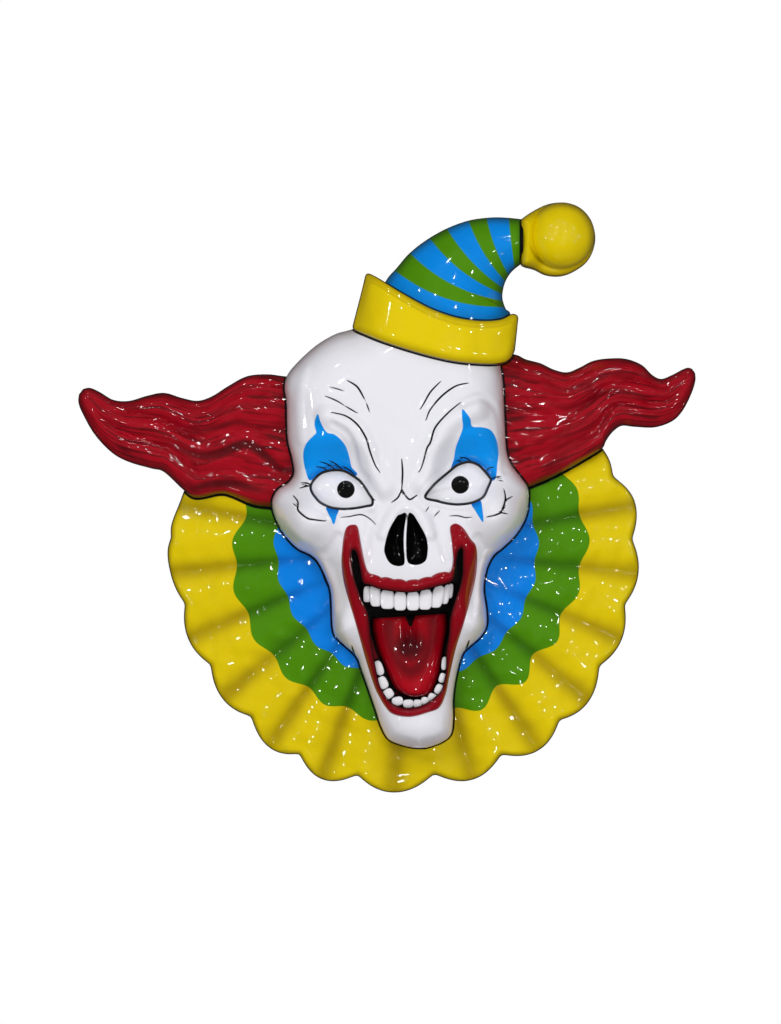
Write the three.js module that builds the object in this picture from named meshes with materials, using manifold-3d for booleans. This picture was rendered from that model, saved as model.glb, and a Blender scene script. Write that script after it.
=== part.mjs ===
import * as THREE from "three";
import { mergeVertices } from "three/addons/utils/BufferGeometryUtils.js";
import Module from "manifold-3d";

// A clown wall plaque, moulded in one piece: a skull-like face with a striped hat, two wings of hair and a
// pleated ruff. Its flat back lies on the wall at y = 0, and its relief stands out towards -Y, with +Z up.

// Driving dimensions, in millimetres
const overallWidth = 1200; // between the tips of the hair
const ruffRimThickness = 27;
const ruffThickness = 60; // beside the face
const pleatHeight = 14;
const scallopDepth = 16; // at the sides, and twice that below the chin
const hairTipThickness = 46;
const hairRootThickness = 84;
const lockHeight = 9;
const faceEdgeThickness = 92;
const faceThickness = 186; // at the forehead, before the carving
const chinThickness = 142;
const eyeballThickness = 60; // from front to back of the whole ball
const eyeballFront = 166;
const lidHeight = 9;
const mouthFloorThickness = 92;
const mouthCornerThickness = 146; // at the bottom of the narrow slits
const nostrilFloorThickness = 128;
const lipRise = 10;
const tongueRise = 44; // above the mouth's floor
const toothStand = 72; // above the mouth's floor
const brimThickness = 216;
const brimEndThickness = 122;
const brimLap = 6; // of the brim's lower edge over the face
const tailThickness = 158;
const tailTipThickness = 96;
const bobbleRadius = 64;
const bobbleThickness = 116;
const bobbleCollarThickness = 54;
const bobbleNeckThickness = 104; // where the collar grips the hat's tail

// Keyhole hangers in the back: a round entry below, a narrow slot above it, and a pocket behind the lip
const keyholeSpacing = 580;
const keyholeHeight = 150; // of the screws' resting place above the origin
const keyholeEntryDiameter = 20;
const keyholeSlotWidth = 10;
const keyholeSlotLength = 32;
const keyholeLip = 4;
const keyholePocketDepth = 16;

// The drawing's grid: outlines are [right, up] in squares from the middle of the ruff's upper part
const gridWidth = 621;
const square = overallWidth / gridWidth;
const backing = 6; // how far the pieces reach past the wall plane before the back is cut flat

// How many flat facets stand for each curved form
const facets = {
  ruff: 96,
  ruffMiddle: 24,
  hairRows: 20,
  hairColumns: 14,
  faceRows: 46,
  faceColumns: 22,
  eye: 12,
  mouth: 54,
  nostril: 14,
  tooth: 8,
  tongueRows: 11,
  tongueColumns: 8,
  hatRows: 16,
  brimColumns: 8,
  tailColumns: 10,
  bobble: 18,
  collar: 32,
  keyhole: 12,
};

const faceLeft = [
  [-33, 202], [-52, 191], [-69, 186], [-88, 175], [-106, 159], [-117.5, 145], [-120.5, 132], [-118.5, 116],
  [-117.5, 82], [-113, 62], [-111, 47], [-116.5, 37.5], [-127.5, 30], [-133, 18], [-130, 3], [-121, -14],
  [-108, -28], [-95, -34.5], [-87, -42], [-79, -58], [-74, -74], [-72, -109], [-66, -120], [-49, -136],
  [-43, -151], [-30, -188], [-23.5, -207], [-16.5, -219], [-5, -224.5], [7, -227.5],
];
const faceRight = [
  [95, 202], [96, 191], [96.5, 186], [95.5, 156], [98, 137], [100, 93], [101.5, 70], [106, 56], [116.5, 42],
  [123, 32], [123.5, 18], [120.5, 2], [111, -14.5], [98, -27.5], [88, -36], [81, -51], [78.5, -70], [81, -88],
  [81.5, -105], [75.5, -116.5], [65, -126], [57, -135], [51, -157], [48, -179], [48, -200], [45.5, -215],
  [35, -223], [20, -228],
];
const leftHairTop = [
  [-96, 143], [-120, 144], [-138, 146], [-158.5, 144], [-177.5, 134], [-193.5, 124], [-208, 119.5],
  [-224, 122.5], [-241.5, 127.5], [-259, 124.5], [-276.5, 119.5], [-292.5, 120.5], [-306.5, 128.5],
  [-318, 132.5],
];
const leftHairBottom = [
  [-96, 12], [-122, 8], [-134.5, 12], [-152, 14.5], [-173, 23.5], [-185.5, 26], [-209.5, 22], [-222, 30],
  [-241.5, 48], [-254, 51.5], [-276.5, 58], [-294, 67.5], [-311.5, 86], [-324.5, 107], [-329, 119.5],
  [-326.5, 128.5],
];
const rightHairTop = [
  [80, 170], [109.5, 166], [121, 161], [136, 157], [148.5, 151], [162, 148], [174.5, 152.5], [188.5, 159.5],
  [205, 162], [222, 161.5], [237.5, 155.5], [248, 145.5], [257, 141.5], [268, 145.5], [278.5, 151],
  [286, 152],
];
const rightHairBottom = [
  [80, 22], [112, 26], [124, 32], [144, 40.5], [162, 50], [182, 61.5], [197.5, 71.5], [201.5, 79], [208, 88],
  [217.5, 94.5], [231, 93.5], [251, 93], [268, 99], [278.5, 109.5], [288, 128], [292, 143],
];
const brimTop = [
  [-37.5, 245.5], [-28, 241.5], [-8, 229], [7.5, 220], [28, 209.5], [52, 201.5], [76, 198.5], [95, 200],
  [105.5, 205], [112.5, 203.5],
];
const brimBottom = [
  [-52, 190.5], [-39, 183.5], [-22, 176.5], [4, 168], [31.5, 160.5], [55.5, 156], [83, 154.5], [100.5, 157],
  [109, 168],
];
const tailOuter = [
  [-30, 212], [-19.5, 238.5], [-8, 252.5], [4, 266.5], [21, 280], [42, 292], [64, 300], [85, 303],
  [100.5, 303], [118, 301.3],
];
const tailInner = [
  [106, 184], [105.5, 206], [101, 211], [97.5, 223], [100, 237], [107, 249], [118, 258],
];
const bobbleCollar = [
  [116, 301.5], [129.5, 310], [141.5, 316], [155.5, 318.5], [171, 315.5], [183, 306], [190, 290.5],
  [190, 275], [183, 259.5], [169, 249], [155.5, 244.5], [141.5, 245.5], [129.5, 251], [116, 256],
];
const bobbleCentre = [157, 285];

// The lips' outer line and the mouth's own line, point for point, clockwise from the middle of the upper lip
const lipLine = [
  [3, -60], [15, -58.5], [24, -56.5], [38, -51.5], [45, -51], [47.5, -38], [46, -20], [44.5, -9],
  [46, -5], [51, -3.5], [58, -8], [65, -18.5], [70.5, -26], [71.8, -41], [70, -59], [66, -76], [57, -107.5],
  [51, -126.5], [46.5, -145.5], [43.5, -160], [40.5, -174], [34, -187], [21.5, -192], [4.5, -196],
  [-12, -193.5], [-20, -186], [-26, -176], [-31, -165], [-39.5, -138], [-49, -103.5], [-59, -70],
  [-62, -56], [-63.3, -42], [-62.5, -28], [-61, -16], [-58, -7], [-52, -4.5], [-47, -7], [-44, -22],
  [-40, -42], [-36, -52], [-28, -55.5], [-15, -58],
];
const mouthLine = [
  [1, -71.5], [13, -70.5], [25, -67.5], [36, -64.5], [45, -61.5], [48.5, -56], [50, -46], [51.5, -36],
  [53, -30.5], [56, -27.5], [57.3, -30], [57.5, -38], [57.5, -46], [57.2, -54], [54.8, -66], [51.5, -80],
  [46.5, -104], [43.5, -118], [41.5, -132], [41.3, -148], [39.5, -160], [35, -172], [19, -184],
  [3, -187.5], [-10, -184.5], [-18, -178], [-23, -170], [-27, -160], [-35, -126], [-41, -90], [-47, -74],
  [-50, -60], [-52.5, -48], [-53.2, -40], [-53.4, -34], [-52.8, -30.5], [-51.5, -29.5], [-49, -31],
  [-46.5, -38], [-44, -52], [-41.5, -62], [-35, -64.5], [-22, -69],
];
const tongueLeft = [
  [-33, -97], [-34, -106], [-32, -117], [-28.5, -129], [-21, -147], [-12.7, -165.8], [-5, -173.5], [4, -177.5],
];
const tongueRight = [
  [42.5, -92], [42.8, -108], [40.5, -121.5], [36.5, -144], [35, -153.5], [28, -171.5], [21.5, -176.2],
  [10, -178],
];
const leftNostril = [
  [1, 6], [-4.5, 5.5], [-8.5, 3], [-16.2, -11], [-20.5, -28], [-19, -36], [-15.5, -42], [-10.5, -45],
  [-4.5, -45.4], [-0.6, -42], [-1.4, -26], [-1.2, -11],
];
const rightNostril = [
  [3.5, 6], [7.5, 5.8], [11, 1], [19.5, -14], [22.3, -24], [22, -34], [20, -40.5], [14, -44], [6.5, -44],
  [2.2, -40], [1.2, -26], [1.6, -9],
];

// Carving of the face: smooth rises and hollows, each [right, up], [half-widths], turn in degrees, rise
const faceCarving = [
  { what: "forehead", at: [-10, 118], size: [112, 92], turn: 0, rise: 9 },
  { what: "left eye socket", at: [-66, 48], size: [44, 36], turn: -12, rise: -17 },
  { what: "right eye socket", at: [58, 52], size: [42, 36], turn: 14, rise: -17 },
  { what: "left eye hollow", at: [-60, 30], size: [42, 27], turn: -10, rise: -8 },
  { what: "right eye hollow", at: [54, 36], size: [42, 27], turn: 16, rise: -8 },
  { what: "bridge between the brows", at: [-3, 46], size: [26, 46], turn: 0, rise: 5 },
  { what: "left cheek", at: [-97, -3], size: [36, 34], turn: 0, rise: 17 },
  { what: "right cheek", at: [92, 4], size: [36, 34], turn: 0, rise: 17 },
  { what: "upper jaw", at: [2, -34], size: [54, 52], turn: 0, rise: 7 },
  { what: "left hollow under the cheek", at: [-76, -66], size: [22, 44], turn: 0, rise: -9 },
  { what: "right hollow under the cheek", at: [72, -66], size: [20, 44], turn: 0, rise: -9 },
  { what: "left jaw corner", at: [-62, -108], size: [20, 24], turn: 0, rise: 6 },
  { what: "right jaw corner", at: [72, -104], size: [20, 24], turn: 0, rise: 6 },
  { what: "chin", at: [14, -208], size: [46, 32], turn: 0, rise: 9 },
];
// Ridges and creases of the face: a line of [right, up] points, half its width and its rise
const faceLines = [
  { what: "left brow", along: [[-78, 104], [-56, 94], [-42, 76], [-34, 50], [-22, 32]], half: 15, rise: 7 },
  { what: "right brow", along: [[72, 110], [46, 98], [33, 78], [26, 52], [18, 36]], half: 15, rise: 7 },
  { what: "nose rim", along: [[-22, -14], [-9, 10], [11, 10], [25, -14]], half: 9, rise: 4 },
  { what: "left jaw tendon", along: [[-84, -46], [-74, -92]], half: 8, rise: 5 },
  { what: "right jaw tendon", along: [[80, -46], [74, -92]], half: 8, rise: 5 },
];
const eyes = [
  { at: [-63, 30.5], size: [32, 20], turn: -8 },
  { at: [53.5, 36], size: [33, 20], turn: 15 },
];
const upperToothEdges = [-41, -34, -24, -11, 1, 13.5, 26, 38, 43.5, 47.5];
const upperTeeth = { middle: 4, halfRow: 44, level: -78, height: 25, gap: 0.6 };
const upperTeethEnds = { lift: 6, shorter: 5, lower: 0.25 }; // how the row curves up and back at its ends
const lowerTeeth = { count: 11, width: 9.5, height: 11, stand: 0.42 };
// A tooth's half section: shares of its half-width and of its stand
const toothProfile = [[0, -0.1], [1, -0.1], [1.08, 0.8], [0.8, 1], [0, 1.04]];
const lowerToothLine = [
  [-27, -143], [-22.5, -162], [-14, -175], [1, -183], [13, -183], [24, -179], [33, -169], [37.5, -156],
  [39.5, -140],
];

// Sizes of the carving that are finer than the outlines, in squares
const faceTop = 194;
const faceBottom = -227.5;
const faceShoulder = 46;
const faceRoundness = 2.2; // 2 would be a circle's
const carvingFade = 12;
const jawFall = { from: 40, to: 200 }; // where the face thins towards the chin, below the origin
const hairShoulder = 20;
const hairLength = 210;
const hairLocks = 3;
const lockSway = { most: 0.35, turns: 5 };
const brimRoll = 15;
const brimEnds = { from: 0.04, to: 0.96 }; // the stretch of an arch that the brim takes
const collarRoll = 7;
const collarRings = [0, 0.08, 0.25, 0.6]; // shares of the way to its middle
const neckEnd = { from: 120, to: 140 };
const rimRoll = 8;
const tongueShoulder = 16;
const tongueLength = 90;
const tongueTipStart = 8;
const tongueCleft = { half: 7, from: 0.05, to: 0.6, depth: 0.5 };
const throatTop = -59;
// Thickness at a form's edge, as a share of the thickness inside it
const edgeShares = { ruff: 0.62, hair: 0.62, brim: 0.93, tail: 0.5, collar: 0.7, tongue: 0.2 };
// An eye's hole and lid, in shares of its size, and how far the lid's edges sink
const eyeRim = { hole: 0.97, lidFrom: 0.95, lidTo: 1.2, sink: 0.1 };
// The lip's rise from its outer line to the mouth
const lipProfile = [-0.2, 0.91, 0.97, 0.59];
// How full the arches are: 1 is a sine's, and less is fuller
const fullness = { brim: 0.7, tail: 0.55, lobe: 0.8 };

// The ruff, in squares
const ruffCentre = [0, -27];
const ruffReach = 228; // at the notches
const hiddenRuffReach = 150; // behind the head
const ruffRings = [0.24, 0.45, 0.7, 0.93, 0.98, 1]; // shares of the reach
const pleatStart = 60;
const rimFall = 1.3;
// Angles of the ruff, in degrees clockwise from the right
const ruffSeen = { from: -26, to: 194 };
const rampAngle = 24;
const seamAngle = -83;
const firstNotch = -2;
const pleatPitch = 16.75;
const pleatDrift = { most: 3.3, at: 103, spread: 18 }; // the pleats are wider below the chin
const lobeDroop = { at: 88, spread: 45 }; // the lobes below the chin hang lower
// Where the rim stands out or in from its even lobes
const rimTrims = [
  { most: 6, at: 108, spread: 22 }, { most: 5, at: 50, spread: 14 }, { most: 7.5, at: 182, spread: 6 },
  { most: -6, at: 192, spread: 7 }, { most: -5.5, at: -19, spread: 5 }, { most: -14, at: -28, spread: 6.5 },
];

const wasm = await Module();
wasm.setup();

const clamp = (value, low, high) => Math.min(Math.max(value, low), high);
const mix = THREE.MathUtils.lerp;
const smooth = THREE.MathUtils.smoothstep;
const radians = THREE.MathUtils.degToRad;
const quarterRound = (share) => Math.sqrt(1 - (1 - clamp(share, 0, 1)) ** 2);
const softBump = (q) => (q < 1 ? (1 - q * q) ** 2 : 0);
const asPoint = ([a, b]) => new THREE.Vector2(a, b);

// A smooth line through a list of points, read by its length
function smoothLine(points) {
  const curve = new THREE.SplineCurve(points.map(asPoint));
  curve.arcLengthDivisions = 40 * points.length;
  return (share) => curve.getPointAt(clamp(share, 0, 1));
}

function closedLine(points, steps) {
  const curve = new THREE.CatmullRomCurve3(points.map(([a, b]) => new THREE.Vector3(a, b, 0)), true);
  return Array.from({ length: steps }, (_, i) => asPoint(curve.getPoint(i / steps).toArray()));
}

// Where a line that never turns back crosses a height
function atHeight(points, steps = 300) {
  const samples = new THREE.SplineCurve(points.map(asPoint)).getPoints(steps);
  return (height) => {
    const next = samples.findIndex((p) => p.y <= height);
    if (next < 1) return (next === 0 ? samples[0] : samples[steps]).clone();
    const [above, below] = [samples[next - 1], samples[next]];
    return above.clone().lerp(below, (above.y - height) / (above.y - below.y));
  };
}

function distanceToSegment(p, a, b) {
  const along = b.clone().sub(a);
  const share = clamp(p.clone().sub(a).dot(along) / along.lengthSq(), 0, 1);
  return along.multiplyScalar(share).add(a).distanceTo(p);
}

function distanceToLine(p, line) {
  let least = Infinity;
  for (let i = 1; i < line.length; i++) least = Math.min(least, distanceToSegment(p, line[i - 1], line[i]));
  return least;
}

// How far a point lies from an oval's middle, where 1 is on its edge
function ovalShare(p, { at, size, turn }) {
  const q = p.clone().sub(asPoint(at)).rotateAround(new THREE.Vector2(), -radians(turn));
  return Math.hypot(q.x / size[0], q.y / size[1]);
}

// A closed body from points in squares, with depths in millimetres, and triangles that all face the same way
function solidOf(points, triangles) {
  const vertices = new Float32Array(points.flatMap(([p, depth]) => [p.x * square, -depth, p.y * square]));
  const geometry = new THREE.BufferGeometry();
  geometry.setAttribute("position", new THREE.BufferAttribute(vertices, 3));
  geometry.setIndex(triangles.flat());
  return solidFromGeometry(geometry);
}

function solidFromGeometry(geometry) {
  geometry.deleteAttribute("normal");
  geometry.deleteAttribute("uv");
  const merged = mergeVertices(geometry, 1e-4);
  const vertProperties = merged.attributes.position.array;
  const build = (order) => {
    const triVerts = new Uint32Array(merged.index.array);
    for (let i = 0; i < triVerts.length; i += 3) triVerts.set(order.map((k) => merged.index.array[i + k]), i);
    return new wasm.Manifold(new wasm.Mesh({ numProp: 3, vertProperties, triVerts }));
  };
  const made = build([0, 1, 2]);
  return made.volume() > 0 ? made : build([0, 2, 1]);
}

// The two skins of a sheet of rows and columns, front and back, and the walls round its open sides
function sheetBody(rows, columns, frontAt, { closedRows = false } = {}) {
  const points = [];
  const rowCount = closedRows ? rows : rows + 1;
  const index = (i, j, back) => ((i % rowCount) * (columns + 1) + j) * 2 + back;
  for (let i = 0; i < rowCount; i++)
    for (let j = 0; j <= columns; j++) {
      const { point, depth } = frontAt(i / rows, j / columns);
      points.push([point, depth], [point, -backing]);
    }
  const triangles = [];
  const quad = (a, b, c, d) => triangles.push([a, b, c], [a, c, d]);
  for (let i = 0; i < rows; i++)
    for (let j = 0; j < columns; j++)
      for (const back of [0, 1]) {
        const near = [index(i, j, back), index(i + 1, j, back)];
        const far = [index(i + 1, j + 1, back), index(i, j + 1, back)];
        const corners = [...near, ...far];
        quad(...(back ? corners.reverse() : corners));
      }
  for (let i = 0; i < rows; i++) {
    quad(index(i, 0, 0), index(i, 0, 1), index(i + 1, 0, 1), index(i + 1, 0, 0));
    quad(index(i + 1, columns, 0), index(i + 1, columns, 1), index(i, columns, 1), index(i, columns, 0));
  }
  if (!closedRows)
    for (let j = 0; j < columns; j++) {
      quad(index(0, j + 1, 0), index(0, j + 1, 1), index(0, j, 1), index(0, j, 0));
      quad(index(rows, j, 0), index(rows, j, 1), index(rows, j + 1, 1), index(rows, j + 1, 0));
    }
  return solidOf(points, triangles);
}

// A strip between two edges, with its columns closer together near them
function stripBody(edgeA, edgeB, rows, columns, depthOf) {
  return sheetBody(rows, columns, (s, share) => {
    const t = (1 - Math.cos(Math.PI * share)) / 2;
    const [a, b] = [edgeA(s), edgeB(s)];
    const point = a.clone().lerp(b, t);
    return { point, depth: depthOf(point, s, t, a.distanceTo(b)) };
  });
}

// The ruff: broad pleats that fan out round the face. They crest at the notches of its scalloped rim, and the
// creases between them run out to the lobes' ends.
const swell = (angle, { at, spread }) => Math.exp(-(((angle - at) / spread) ** 2));
const pleatPhase = (angle) =>
  (Math.PI * (angle - firstNotch - pleatDrift.most * swell(angle, pleatDrift))) / pleatPitch;

function ruffRadius(angle) {
  const past = Math.max(ruffSeen.from - angle, angle - ruffSeen.to, 0);
  const lobe = Math.abs(Math.sin(pleatPhase(angle))) ** fullness.lobe * (1 + swell(angle, lobeDroop));
  const trim = rimTrims.reduce((sum, one) => sum + one.most * swell(angle, one), 0);
  return mix(ruffReach + trim + (scallopDepth / square) * lobe, hiddenRuffReach, smooth(past, 0, rampAngle));
}

function ruff() {
  const pleats = sheetBody(facets.ruff, ruffRings.length - 1, (turn, share) => {
    const angle = seamAngle + 360 * turn;
    const reach = ruffRadius(angle);
    const radius = ruffRings[Math.round(share * (ruffRings.length - 1))] * reach;
    const point = new THREE.Vector2(Math.cos(radians(angle)), -Math.sin(radians(angle)));
    point.multiplyScalar(radius).add(asPoint(ruffCentre));
    const open = smooth(radius, pleatStart, ruffReach);
    const crest = pleatHeight * open * Math.abs(Math.cos(pleatPhase(angle)));
    const depth = mix(ruffThickness, ruffRimThickness, open ** rimFall) + crest;
    return { point, depth: depth * mix(edgeShares.ruff, 1, quarterRound((reach - radius) / rimRoll)) };
  }, { closedRows: true });
  return pleats.add(ruffMiddle());
}

// A plain block under the face that fills the ruff's middle
function ruffMiddle() {
  const angles = Array.from({ length: facets.ruff }, (_, i) => seamAngle + (360 * i) / facets.ruff);
  const radius = ruffRings[0] * Math.max(...angles.map(ruffRadius)) * square + backing;
  const block = new THREE.CylinderGeometry(radius, radius, ruffThickness + backing, facets.ruffMiddle);
  block.translate(ruffCentre[0] * square, (backing - ruffThickness) / 2, ruffCentre[1] * square);
  return solidFromGeometry(block);
}

// A wing of hair: locks that run from the face to the tip in slow waves
function hairWing(bottom, top) {
  const [lower, upper] = [smoothLine(bottom), smoothLine(top)];
  return stripBody(lower, upper, facets.hairRows, facets.hairColumns, (_, s, t, width) => {
    const body = mix(hairRootThickness, hairTipThickness, smooth(s, 0, 1));
    const round = quarterRound(Math.min(Math.min(t, 1 - t) * width, (1 - s) * hairLength) / hairShoulder);
    const sway = lockSway.most * Math.sin(lockSway.turns * s);
    const lock = 2 * Math.abs(Math.sin(Math.PI * (hairLocks * t + sway))) - 1;
    return body * mix(edgeShares.hair, 1, round) + lockHeight * lock * round;
  });
}

const faceEdge = [faceLeft, faceRight].map((side) => new THREE.SplineCurve(side.map(asPoint)).getPoints(90));
const faceLineCurves = faceLines.map((line) => ({
  ...line,
  curve: new THREE.SplineCurve(line.along.map(asPoint)).getPoints(16),
}));

// The face's thickness at a point: a rounded mass, lower at the jaw, with its carving
function faceDepth(p) {
  const edge = Math.min(...faceEdge.map((side) => distanceToLine(p, side)));
  const crown = mix(faceThickness, chinThickness, smooth(-p.y, jawFall.from, jawFall.to));
  const round = (1 - (1 - clamp(edge / faceShoulder, 0, 1)) ** faceRoundness) ** (1 / faceRoundness);
  let carving = 0;
  for (const form of faceCarving) carving += form.rise * softBump(ovalShare(p, form));
  for (const line of faceLineCurves) carving += line.rise * softBump(distanceToLine(p, line.curve) / line.half);
  return mix(faceEdgeThickness, crown, round) + carving * square * smooth(edge, 0, carvingFade);
}

function face() {
  const edgeOf = (side) => (s) => side(mix(faceTop, faceBottom, s));
  const [left, right] = [atHeight(faceLeft), atHeight(faceRight)].map(edgeOf);
  return stripBody(left, right, facets.faceRows, facets.faceColumns, faceDepth);
}

// An eye: a ball in its socket, inside a raised lid
function eye({ at, size, turn }) {
  const ball = new THREE.SphereGeometry(1, facets.eye, facets.eye / 2);
  ball.rotateX(Math.PI / 2);
  ball.scale(size[0] * square, eyeballThickness / 2, size[1] * square);
  ball.rotateY(-radians(turn));
  ball.translate(at[0] * square, eyeballThickness / 2 - eyeballFront, at[1] * square);
  const lid = sheetBody(facets.eye * 2, 2, (around, share) => {
    const angle = 2 * Math.PI * around;
    const reach = mix(eyeRim.lidFrom, eyeRim.lidTo, share);
    const point = new THREE.Vector2(size[0] * Math.cos(angle), size[1] * Math.sin(angle)).multiplyScalar(reach);
    point.rotateAround(new THREE.Vector2(), radians(turn)).add(asPoint(at));
    return { point, depth: faceDepth(point) + lidHeight * (share === 0.5 ? 1 : -eyeRim.sink) };
  }, { closedRows: true });
  return [solidFromGeometry(ball), lid];
}

// A straight-sided cutter or block on a closed line, between two thicknesses
function prism(outline, from, to) {
  const shape = new THREE.Shape(outline.map((p) => p.clone().multiplyScalar(square)));
  const geometry = new THREE.ExtrudeGeometry(shape, { depth: to - from, bevelEnabled: false });
  geometry.rotateX(Math.PI / 2);
  geometry.translate(0, -from, 0);
  return solidFromGeometry(geometry);
}

// The lips: a rounded band between their outer line and the mouth
function lips() {
  const steps = facets.mouth;
  const [outer, inner] = [closedLine(lipLine, steps), closedLine(mouthLine, steps)];
  return sheetBody(steps, lipProfile.length - 1, (turn, share) => {
    const i = Math.round(turn * steps);
    const point = outer[i].clone().lerp(inner[i], share);
    const rise = lipRise * lipProfile[Math.round(share * (lipProfile.length - 1))];
    return { point, depth: faceDepth(point) + rise };
  }, { closedRows: true });
}

// One tooth: a flat-fronted block with a rounded edge, which stands on the mouth's floor
function tooth(centre, width, height, turn, stand) {
  const block = new THREE.LatheGeometry(toothProfile.map(asPoint), facets.tooth);
  block.rotateY(Math.PI / facets.tooth);
  block.scale((width / 2) * square, -stand, (height / 2) * square);
  block.rotateY(-turn);
  block.translate(centre.x * square, -mouthFloorThickness, centre.y * square);
  return solidFromGeometry(block);
}

function teeth() {
  const made = [];
  for (let i = 1; i < upperToothEdges.length; i++) {
    const [from, to] = [upperToothEdges[i - 1], upperToothEdges[i]];
    const middle = (from + to) / 2;
    const bow = ((middle - upperTeeth.middle) / upperTeeth.halfRow) ** 2;
    const centre = new THREE.Vector2(middle, upperTeeth.level + upperTeethEnds.lift * bow);
    const height = upperTeeth.height - upperTeethEnds.shorter * bow;
    const stand = toothStand * (1 - upperTeethEnds.lower * bow);
    made.push(tooth(centre, to - from - upperTeeth.gap, height, 0, stand));
  }
  const line = smoothLine(lowerToothLine);
  for (let i = 0; i < lowerTeeth.count; i++) {
    const share = (i + 0.5) / lowerTeeth.count;
    const way = line(share + 0.02).sub(line(share - 0.02));
    const turn = Math.atan2(way.y, way.x);
    made.push(tooth(line(share), lowerTeeth.width, lowerTeeth.height, turn, toothStand * lowerTeeth.stand));
  }
  return made;
}

function tongue() {
  const [left, right] = [smoothLine(tongueLeft), smoothLine(tongueRight)];
  return stripBody(left, right, facets.tongueRows, facets.tongueColumns, (_, s, t, width) => {
    const side = Math.min(t, 1 - t) * width;
    const end = Math.min((1 - s) * tongueLength, tongueTipStart + s * tongueLength);
    const round = quarterRound(Math.min(side, end) / tongueShoulder);
    const across = ((t - 0.5) * width) / tongueCleft.half;
    const cleft = Math.exp(-(across ** 2)) * (1 - smooth(s, tongueCleft.from, tongueCleft.to));
    const rise = tongueRise * mix(edgeShares.tongue, 1, round) * (1 - tongueCleft.depth * cleft);
    return mouthFloorThickness + rise;
  });
}

// The hat: a turned-up brim, a tail that curls over to the right, and a bobble on its end
function hatBrim() {
  const [lower, upper] = [smoothLine(brimBottom), smoothLine(brimTop)];
  const [faceStart, faceEnd] = [atHeight(faceLeft), atHeight(faceRight)];
  const overFace = (p) => (p.x > faceStart(p.y).x && p.x < faceEnd(p.y).x ? faceDepth(p) + brimLap : 0);
  return stripBody(lower, upper, facets.hatRows, facets.brimColumns, (_, s, t, width) => {
    const arch = Math.sin(Math.PI * mix(brimEnds.from, brimEnds.to, s)) ** fullness.brim;
    const across = Math.max(mix(brimEndThickness, brimThickness, arch), overFace(lower(s)) / edgeShares.brim);
    return across * mix(edgeShares.brim, 1, quarterRound((Math.min(t, 1 - t) * width) / brimRoll));
  });
}

function hatTail() {
  const [inner, outer] = [smoothLine(tailInner), smoothLine(tailOuter)];
  return stripBody(inner, outer, facets.hatRows, facets.tailColumns, (_, s, t) => {
    const crown = mix(tailThickness, tailTipThickness, smooth(s, 0, 1));
    return crown * mix(edgeShares.tail, 1, Math.sin(Math.PI * t) ** fullness.tail);
  });
}

function bobble() {
  const [right, up] = bobbleCentre.map((value) => value * square);
  const ballDepth = bobbleThickness - bobbleRadius;
  const ball = new THREE.SphereGeometry(bobbleRadius, facets.bobble, facets.bobble / 2);
  ball.translate(right, -ballDepth, up);
  const postRadius = bobbleRadius - 1;
  const post = new THREE.CylinderGeometry(postRadius, postRadius, ballDepth + backing, facets.bobble);
  post.translate(right, (backing - ballDepth) / 2, up);
  const outline = closedLine(bobbleCollar, facets.collar);
  const middle = asPoint(bobbleCentre);
  const collar = sheetBody(facets.collar, collarRings.length - 1, (turn, share) => {
    const edge = outline[Math.round(turn * facets.collar)];
    const point = edge.clone().lerp(middle, collarRings[Math.round(share * (collarRings.length - 1))]);
    const thinning = smooth(point.x, neckEnd.from, neckEnd.to);
    const depth = mix(bobbleNeckThickness, bobbleCollarThickness, thinning);
    const roll = quarterRound(point.distanceTo(edge) / collarRoll);
    return { point, depth: depth * mix(edgeShares.collar, 1, roll) };
  }, { closedRows: true });
  return [solidFromGeometry(ball), solidFromGeometry(post), collar];
}

// One keyhole hanger, cut from behind
function keyholeCutters(right) {
  const entry = new THREE.CylinderGeometry(
    keyholeEntryDiameter / 2, keyholeEntryDiameter / 2, 1, facets.keyhole);
  const cut = (geometry, deep, x, z) => {
    geometry.scale(1, deep + backing, 1);
    geometry.translate(x, (backing - deep) / 2, z);
    return solidFromGeometry(geometry);
  };
  const low = keyholeHeight - keyholeSlotLength;
  const slot = new THREE.BoxGeometry(keyholeSlotWidth, 1, keyholeSlotLength);
  const slotEnd = new THREE.CylinderGeometry(keyholeSlotWidth / 2, keyholeSlotWidth / 2, 1, facets.keyhole);
  const pocket = new THREE.BoxGeometry(keyholeEntryDiameter, keyholePocketDepth, keyholeSlotLength);
  const pocketEnd = new THREE.CylinderGeometry(
    keyholeEntryDiameter / 2, keyholeEntryDiameter / 2, keyholePocketDepth, facets.keyhole);
  const pocketMiddle = -keyholeLip - keyholePocketDepth / 2;
  pocket.translate(right, pocketMiddle, low + keyholeSlotLength / 2);
  pocketEnd.translate(right, pocketMiddle, keyholeHeight);
  return [
    cut(entry, keyholeLip + keyholePocketDepth, right, low),
    cut(slot, keyholeLip + 1, right, low + keyholeSlotLength / 2),
    cut(slotEnd, keyholeLip + 1, right, keyholeHeight),
    solidFromGeometry(pocket),
    solidFromGeometry(pocketEnd),
  ];
}

function wallSide() {
  const slab = new THREE.BoxGeometry(overallWidth * 2, backing * 3, overallWidth * 2);
  slab.translate(0, backing * 1.5, 0);
  return solidFromGeometry(slab);
}

const union = (solids) => solids.reduce((all, solid) => all.add(solid));

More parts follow.
